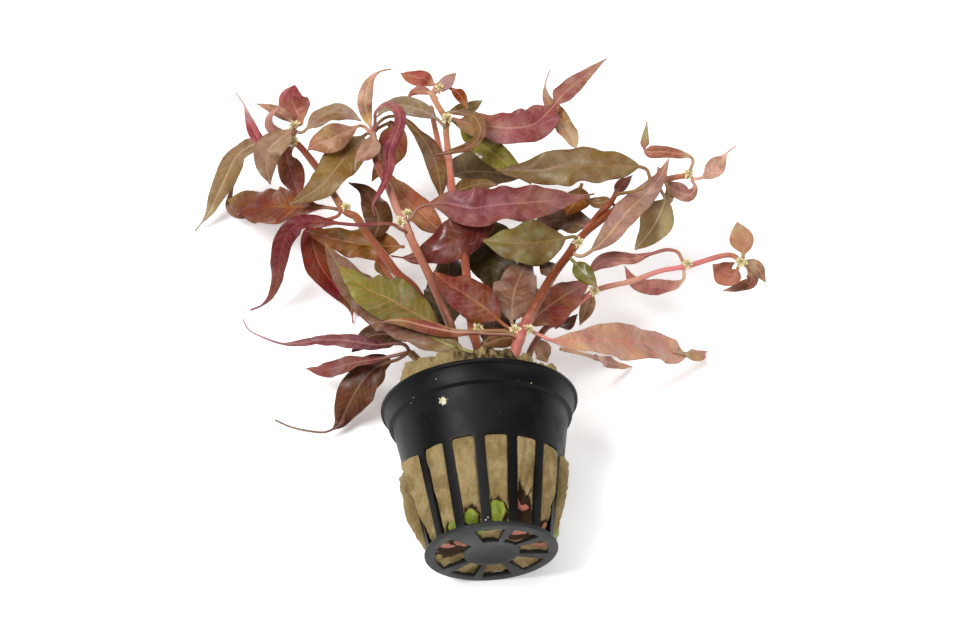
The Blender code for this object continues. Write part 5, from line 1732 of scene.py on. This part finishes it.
    def build(self) -> bpy.types.Object:
        """Make the pot."""
        pot = self.wall()
        for cutter in (self.slots(), self.holes()):
            cut = pot.modifiers.new("cut", "BOOLEAN")
            cut.operation = "DIFFERENCE"
            cut.solver = "EXACT"
            cut.object = cutter
            self.apply(pot)
            bpy.data.objects.remove(cutter)
        bevel = pot.modifiers.new("edge", "BEVEL")
        bevel.width = self.edge
        bevel.segments = 2
        bevel.limit_method = "ANGLE"
        bevel.angle_limit = math.radians(self.edge_angle)
        self.apply(pot)
        pot.data.transform(POT.matrix())
        pot.data.shade_smooth()
        pot.data.set_sharp_from_angle(angle=math.radians(self.sharp_angle))
        settle(pot, PlasticLook().build("net_pot_finish"), "black_plastic", "net_pot")
        LOG.info("net pot: %d faces", len(pot.data.polygons))
        return pot


# Each hole's middle and spread, in degrees
BASE_HOLES: list[Pair] = [
    (267.0, 31.0), (309.0, 32.0), (352.0, 33.0), (38.0, 32.0), (83.0, 31.0), (121.0, 28.0), (185.0, 78.0),
]


@dataclass(frozen=True)
class Swelling:
    """A place where the wool stands out: its angle and extent in degrees, the rest in mm."""

    turn: float
    along: float
    wide: float
    tall: float
    out: float


WOOL_SWELLINGS: list[Swelling] = [
    Swelling(183.0, 15.0, 22.0, 11.0, 2.6), Swelling(205.0, 24.0, 9.0, 6.0, 2.0),
    Swelling(352.0, 17.0, 16.0, 9.0, 2.2), Swelling(228.0, 23.0, 6.0, 4.0, 1.6),
    Swelling(252.0, 14.0, 10.0, 8.0, 0.6), Swelling(288.0, 18.0, 10.0, 8.0, 0.5),
    Swelling(330.0, 12.0, 12.0, 6.0, 0.7), Swelling(240.0, 8.0, 14.0, 4.0, 0.6),
]


class Scrap(Enum):
    """What the wool's finish shows between its folds: green leaf scraps, pink shoots, and painted shade in
    the gaps.
    """

    GREEN = 0
    PINK = 1
    PAINTED_SHADE = 2


@dataclass(frozen=True)
class Blot:
    """A patch of a scrap or of painted shade on the wool: its kind, angle, height or radius, and half its
    extents.

    Angles are in degrees and the rest in mm. On the side, level is the height, and on the base the radius.
    """

    kind: Scrap
    turn: float
    level: float
    wide: float
    tall: float
    out: float = 0.0


# The PAINTED_SHADE blots are painted shade in the low, sunken parts of the slots.
SLOT_BLOTS: list[Blot] = [
    Blot(Scrap.PAINTED_SHADE, 229.0, 1.8, 9.0, 2.2, -0.9), Blot(Scrap.PAINTED_SHADE, 252.0, 3.2, 10.0, 3.4, -1.2),
    Blot(Scrap.PAINTED_SHADE, 276.0, 3.6, 10.0, 5.0, -1.2), Blot(Scrap.PAINTED_SHADE, 301.0, 5.0, 10.0, 6.4, -1.4),
    Blot(Scrap.PAINTED_SHADE, 296.5, 10.0, 2.5, 3.0, -0.8), Blot(Scrap.PAINTED_SHADE, 327.0, 2.6, 9.0, 2.4, -1.0),
    Blot(Scrap.GREEN, 251.5, 3.6, 7.5, 2.3, 1.4), Blot(Scrap.GREEN, 275.5, 4.6, 8.0, 3.2, 1.6),
    Blot(Scrap.GREEN, 232.0, 2.6, 6.0, 1.1, 0.8), Blot(Scrap.GREEN, 352.0, 2.6, 7.0, 2.6, 0.5),
    Blot(Scrap.PINK, 300.0, 6.2, 6.5, 0.9, 1.0), Blot(Scrap.PINK, 295.5, 7.6, 1.8, 1.6, 0.9),
    Blot(Scrap.PINK, 326.5, 2.8, 3.0, 1.4, 0.8),
]
# The PAINTED_SHADE blots are painted shade in the recesses of the base holes.
BASE_BLOTS: list[Blot] = [
    Blot(Scrap.PAINTED_SHADE, 262.0, 14.4, 16.0, 1.6), Blot(Scrap.GREEN, 252.5, 13.0, 8.0, 2.2),
    Blot(Scrap.PAINTED_SHADE, 309.0, 11.5, 16.0, 4.0), Blot(Scrap.PINK, 306.0, 12.6, 10.0, 1.7),
    Blot(Scrap.PINK, 357.5, 13.4, 5.5, 1.9), Blot(Scrap.PAINTED_SHADE, 349.5, 13.6, 2.2, 2.0),
    Blot(Scrap.PAINTED_SHADE, 196.0, 11.5, 34.0, 4.5), Blot(Scrap.PINK, 199.0, 12.8, 7.0, 2.3),
    Blot(Scrap.PINK, 214.0, 9.8, 8.0, 2.4), Blot(Scrap.PAINTED_SHADE, 134.0, 10.5, 5.0, 3.0),
]


# Where the wool stands higher around the stems: its angle and spread in degrees and its rise in mm
COLLAR_RISES: list[Place] = [(222.0, 30.0, 2.4), (318.0, 12.0, 0.7)]


def turned(turn: np.ndarray, middle: float) -> np.ndarray:
    """Return how far each angle is from the middle one, from -180 to 180 degrees."""
    return (turn - middle + 180.0) % 360.0 - 180.0


def mask_of(blot: Blot, turn: np.ndarray, level: np.ndarray, ragged: np.ndarray) -> np.ndarray:
    """Work out how much of a blot there is at each point.

    Args:
        blot: The blot.
        turn: The points' angles, in degrees.
        level: The points' heights or radii, in mm.
        ragged: What makes its edge uneven.

    Returns:
        Values from 0 to 1.
    """
    distance = np.hypot(turned(turn, blot.turn) / blot.wide, (level - blot.level) / blot.tall)
    return eased(distance + ragged * 0.3, 1.1, 0.75)


@dataclass
class WoolPiece:
    """The rock wool: a plug that fills the pot, swells through its slots and stands out of its mouth."""

    around: int = 420
    rows: int = 200
    seed: float = 4.7
    floor_gap: float = 0.25 * MM
    wall_gap: float = 0.35 * MM
    centre: float = 0.2 * MM
    mouth: float = 25.3 * MM
    shoulder: float = 24.2 * MM
    crown: float = 21.2 * MM
    crown_top: float = 16.5 * MM
    slot_middle: float = 25.0 * MM
    band_foot: float = 39.0 * MM
    mouth_low: float = 44.5 * MM
    mouth_high: float = 46.2 * MM
    shoulder_high: float = 49.2 * MM
    slot_foot: Pair = (1.6 * MM, 3.5 * MM)
    slot_head: Pair = (26.0 * MM, 24.4 * MM)
    slot_half: Pair = (2.2 * MM, 3.05 * MM)
    side_from: Pair = (1.6 * MM, 1.9 * MM)
    base_from: Pair = (2.2 * MM, 1.7 * MM)
    lifted_from: Pair = (45.5 * MM, 47.0 * MM)
    top_from: Pair = (46.0 * MM, 50.0 * MM)
    steady_centre: Pair = (2.0 * MM, 12.0 * MM)
    bulge: float = 0.75 * MM
    lump: float = 0.6 * MM
    fold: float = 0.9 * MM
    fuzz: float = 0.35 * MM
    mouth_lump: float = 1.6 * MM
    mouth_fuzz: float = 0.6 * MM
    top_lump: float = 2.6 * MM
    top_fuzz: float = 0.5 * MM
    sag: float = 0.9 * MM
    # Where the top of the wool gets painted shade behind the stems: its angle and spread, in degrees.
    painted_shade_turn: float = 277.0
    painted_shade_spread: float = 32.0

    def sections(self) -> tuple[np.ndarray, np.ndarray]:
        """Return the plug's radius and height at each row, from the base to the mouth."""
        low = POT.floor + self.floor_gap
        top = POT.height + POT.wool_stand
        foot = POT.wall_at(low)
        knots = [
            (self.centre, low), (foot - 2.4 * MM, low), (foot - 1.3 * MM, low + 0.6 * MM),
            (POT.wall_at(self.slot_middle) - POT.wall + self.wall_gap, self.slot_middle),
            (POT.wall_at(self.band_foot) - 1.5 * MM, self.band_foot), (self.mouth, self.mouth_low),
            (self.mouth, self.mouth_high), (self.shoulder, self.shoulder_high), (self.crown, top - 1.4 * MM),
            (self.crown_top, top), (self.centre, top + 0.4 * MM),
        ]
        radius, height = np.array(knots).T
        run = np.concatenate([[0.0], np.cumsum(np.hypot(np.diff(radius), np.diff(height)))])
        wanted = np.linspace(0.0, run[-1], self.rows)
        return np.interp(wanted, run, radius), np.interp(wanted, run, height)

    def openness(self, turn: np.ndarray, radius: np.ndarray, height: np.ndarray) -> np.ndarray:
        """Work out where the pot's slots let the wool out.

        Args:
            turn: The angle of each column, in degrees.
            radius: The radius of each row, as a column.
            height: The height of each row, as a column.

        Returns:
            Values from 0 under the wall to 1 in a slot.
        """
        pitch = 360.0 / POT.slots
        from_slot = np.abs(((turn - POT.slot_turn) / pitch + 0.5) % 1.0 - 0.5) * pitch
        half = np.interp(height, [0.0, self.slot_middle], self.slot_half) / np.maximum(radius, 5 * MM)
        within = eased(np.degrees(half) - from_slot, -1.2, 2.0)
        return within * eased(height, *self.slot_foot) * eased(height, *self.slot_head)

    def noise(self, places: np.ndarray, size: float, octaves: int, shift: float, squash: float) -> np.ndarray:
        """Read noise over the plug.

        Args:
            places: The plug's points, as a grid.
            size: The size of its largest patches, in metres.
            octaves: How many layers it has.
            shift: What moves it.
            squash: The factor on the height, which stretches it along the pot when below 1.

        Returns:
            One value around 0 for each point.
        """
        flat = places.reshape(-1, 3) * np.array([1.0, 1.0, squash])
        return roughness_of(flat, size, octaves, shift).reshape(places.shape[:2])

    def build(self) -> bpy.types.Object:
        """Make the wool."""
        radius, height = (values[:, None] for values in self.sections())
        turn = np.linspace(0.0, 360.0, self.around, endpoint=False)
        turns = np.broadcast_to(turn, (self.rows, self.around))
        angle = np.radians(turn)[None, :]
        open_here = self.openness(turn[None, :], radius, height)
        swell = np.zeros((self.rows, self.around))
        for place in WOOL_SWELLINGS:
            there = peak_at(turned(turn[None, :], place.turn), 0.0, place.wide)
            swell += place.out * MM * there * peak_at(height / MM, place.along, place.tall)
        base = triples(radius * np.cos(angle), radius * np.sin(angle), height).reshape(*turns.shape, 3)
        lumps = self.noise(base, 6.0 * MM, 3, self.seed, 1.0)
        fuzz = self.noise(base, 1.3 * MM, 3, self.seed * 2, 0.6)
        folds = self.noise(base, 3.2 * MM, 2, self.seed * 3, 0.22)
        scraps = np.zeros((self.rows, self.around, 3))
        side = eased(height, *self.side_from)
        depth = np.zeros(turns.shape)
        for blots, level, here in ((SLOT_BLOTS, height, side), (BASE_BLOTS, radius, 1.0 - side)):
            for blot in blots:
                mask = mask_of(blot, turns, level / MM, fuzz) * here
                kind = blot.kind.value
                scraps[..., kind] = np.maximum(scraps[..., kind], mask)
                depth += mask * blot.out * MM
        lifted = eased(height, *self.lifted_from)
        # damp is painted shade on the top of the wool in the mouth, where the stems shade it.
        damp = lifted * peak_at(turns, self.painted_shade_turn, self.painted_shade_spread) * (0.62 + fuzz * 0.5)
        scraps[..., Scrap.PAINTED_SHADE.value] = np.maximum(scraps[..., Scrap.PAINTED_SHADE.value], damp)
        out = self.bulge + swell + lumps * self.lump + folds * self.fold + fuzz * self.fuzz + depth
        out = open_here * out + lifted * (lumps * self.mouth_lump + fuzz * self.mouth_fuzz)
        scale = 1.0 + out / np.maximum(radius, 6 * MM) * eased(radius, *self.steady_centre)
        base[..., :2] *= scale[..., None]
        collar = sum(rise * peak_at(turns, middle, spread) for middle, spread, rise in COLLAR_RISES) * MM
        top = lumps * self.top_lump + fuzz * self.top_fuzz + collar
        base[..., 2] += eased(height, *self.top_from) * top
        sag = np.maximum(lumps * 0.7 + 0.5 + fuzz * 0.3, 0.0) * self.sag
        base[..., 2] -= eased(height, *self.base_from) * sag
        vertices = base.reshape(-1, 3)
        faces = ring_faces(self.rows, self.around)
        faces.append(list(range(self.around))[::-1])
        faces.append(list(range(len(vertices) - self.around, len(vertices))))
        piece = add_piece("rock_wool_plug", vertices, faces, {"scraps": scraps.reshape(-1, 3)})
        piece.data.transform(POT.matrix())
        settle(piece, WoolLook().build("rock_wool_finish"), "rock_wool", "rock_wool")
        LOG.info("rock wool: %d points", len(vertices))
        return piece


@dataclass(frozen=True)
class Lamp:
    """A square area light: its place and the side of its square in metres, and its power in watts."""

    name: str
    place: Place
    size: float
    power: float
    target: Place = (0.0, 0.0, 0.02)

    def build(self) -> None:
        """Make the light."""
        data = bpy.data.lights.new(self.name, "AREA")
        data.size = self.size
        data.energy = self.power
        lamp = new_object(self.name, data)
        lamp.location = self.place
        lamp.rotation_mode = "QUATERNION"
        lamp.rotation_quaternion = (Vector(self.target) - Vector(self.place)).to_track_quat("-Z", "Y")


@dataclass(frozen=True)
class Lighting:
    """The soft studio light and the pale floor."""

    world: float = 0.13
    floor: Colour = (0.93, 0.93, 0.93)
    floor_size: float = 6.0
    floor_glow: float = 0.34
    lamps: tuple[Lamp, ...] = (Lamp("key", (-0.8, -0.3, 1.35), 0.7, 23.0),
                               Lamp("fill", (1.0, -0.9, 1.0), 0.9, 9.0),
                               Lamp("top", (0.15, 0.45, 1.6), 0.9, 10.0))

    def build(self) -> None:
        """Make the floor, the lights and the world."""
        half = self.floor_size / 2
        corners = np.array([[-half, -half, 0.0], [half, -half, 0.0], [half, half, 0.0], [-half, half, 0.0]])
        floor = add_piece("floor", corners, [[0, 1, 2, 3]])
        floor.data.materials.append(Finish("floor_finish").close(
            {"Base Color": self.floor, "Roughness": 0.9, "Specular IOR Level": 0.1,
             "Emission Color": self.floor, "Emission Strength": self.floor_glow}))
        world = bpy.data.worlds.new("studio")
        world.use_nodes = True
        background = world.node_tree.nodes["Background"]
        background.inputs["Color"].default_value = (1.0, 1.0, 1.0, 1.0)
        background.inputs["Strength"].default_value = self.world
        bpy.context.scene.world = world
        for lamp in self.lamps:
            lamp.build()
        bpy.context.scene.view_settings.view_transform = "Standard"


def main() -> None:
    """Build every piece, the stage and the camera."""
    logging.basicConfig(level=logging.INFO, format="%(name)s: %(message)s")
    for name, leaf in LEAVES.items():
        LeafPiece(f"{name}_blade", leaf, name).build()
    LeafPiece("right_leaf_13_roll", ROLLED_EDGE, "right_leaf_13").build()
    LeafPiece("right_leaf_14_flap", FOLDED_TIP, "right_leaf_14").build()
    for name, stem in STEMS.items():
        StemPiece(name, stem).build()
    WoolPiece().build()
    PotPiece().build()
    Lighting().build()
    VIEW.camera()
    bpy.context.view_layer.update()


if __name__ == "__main__":
    main()
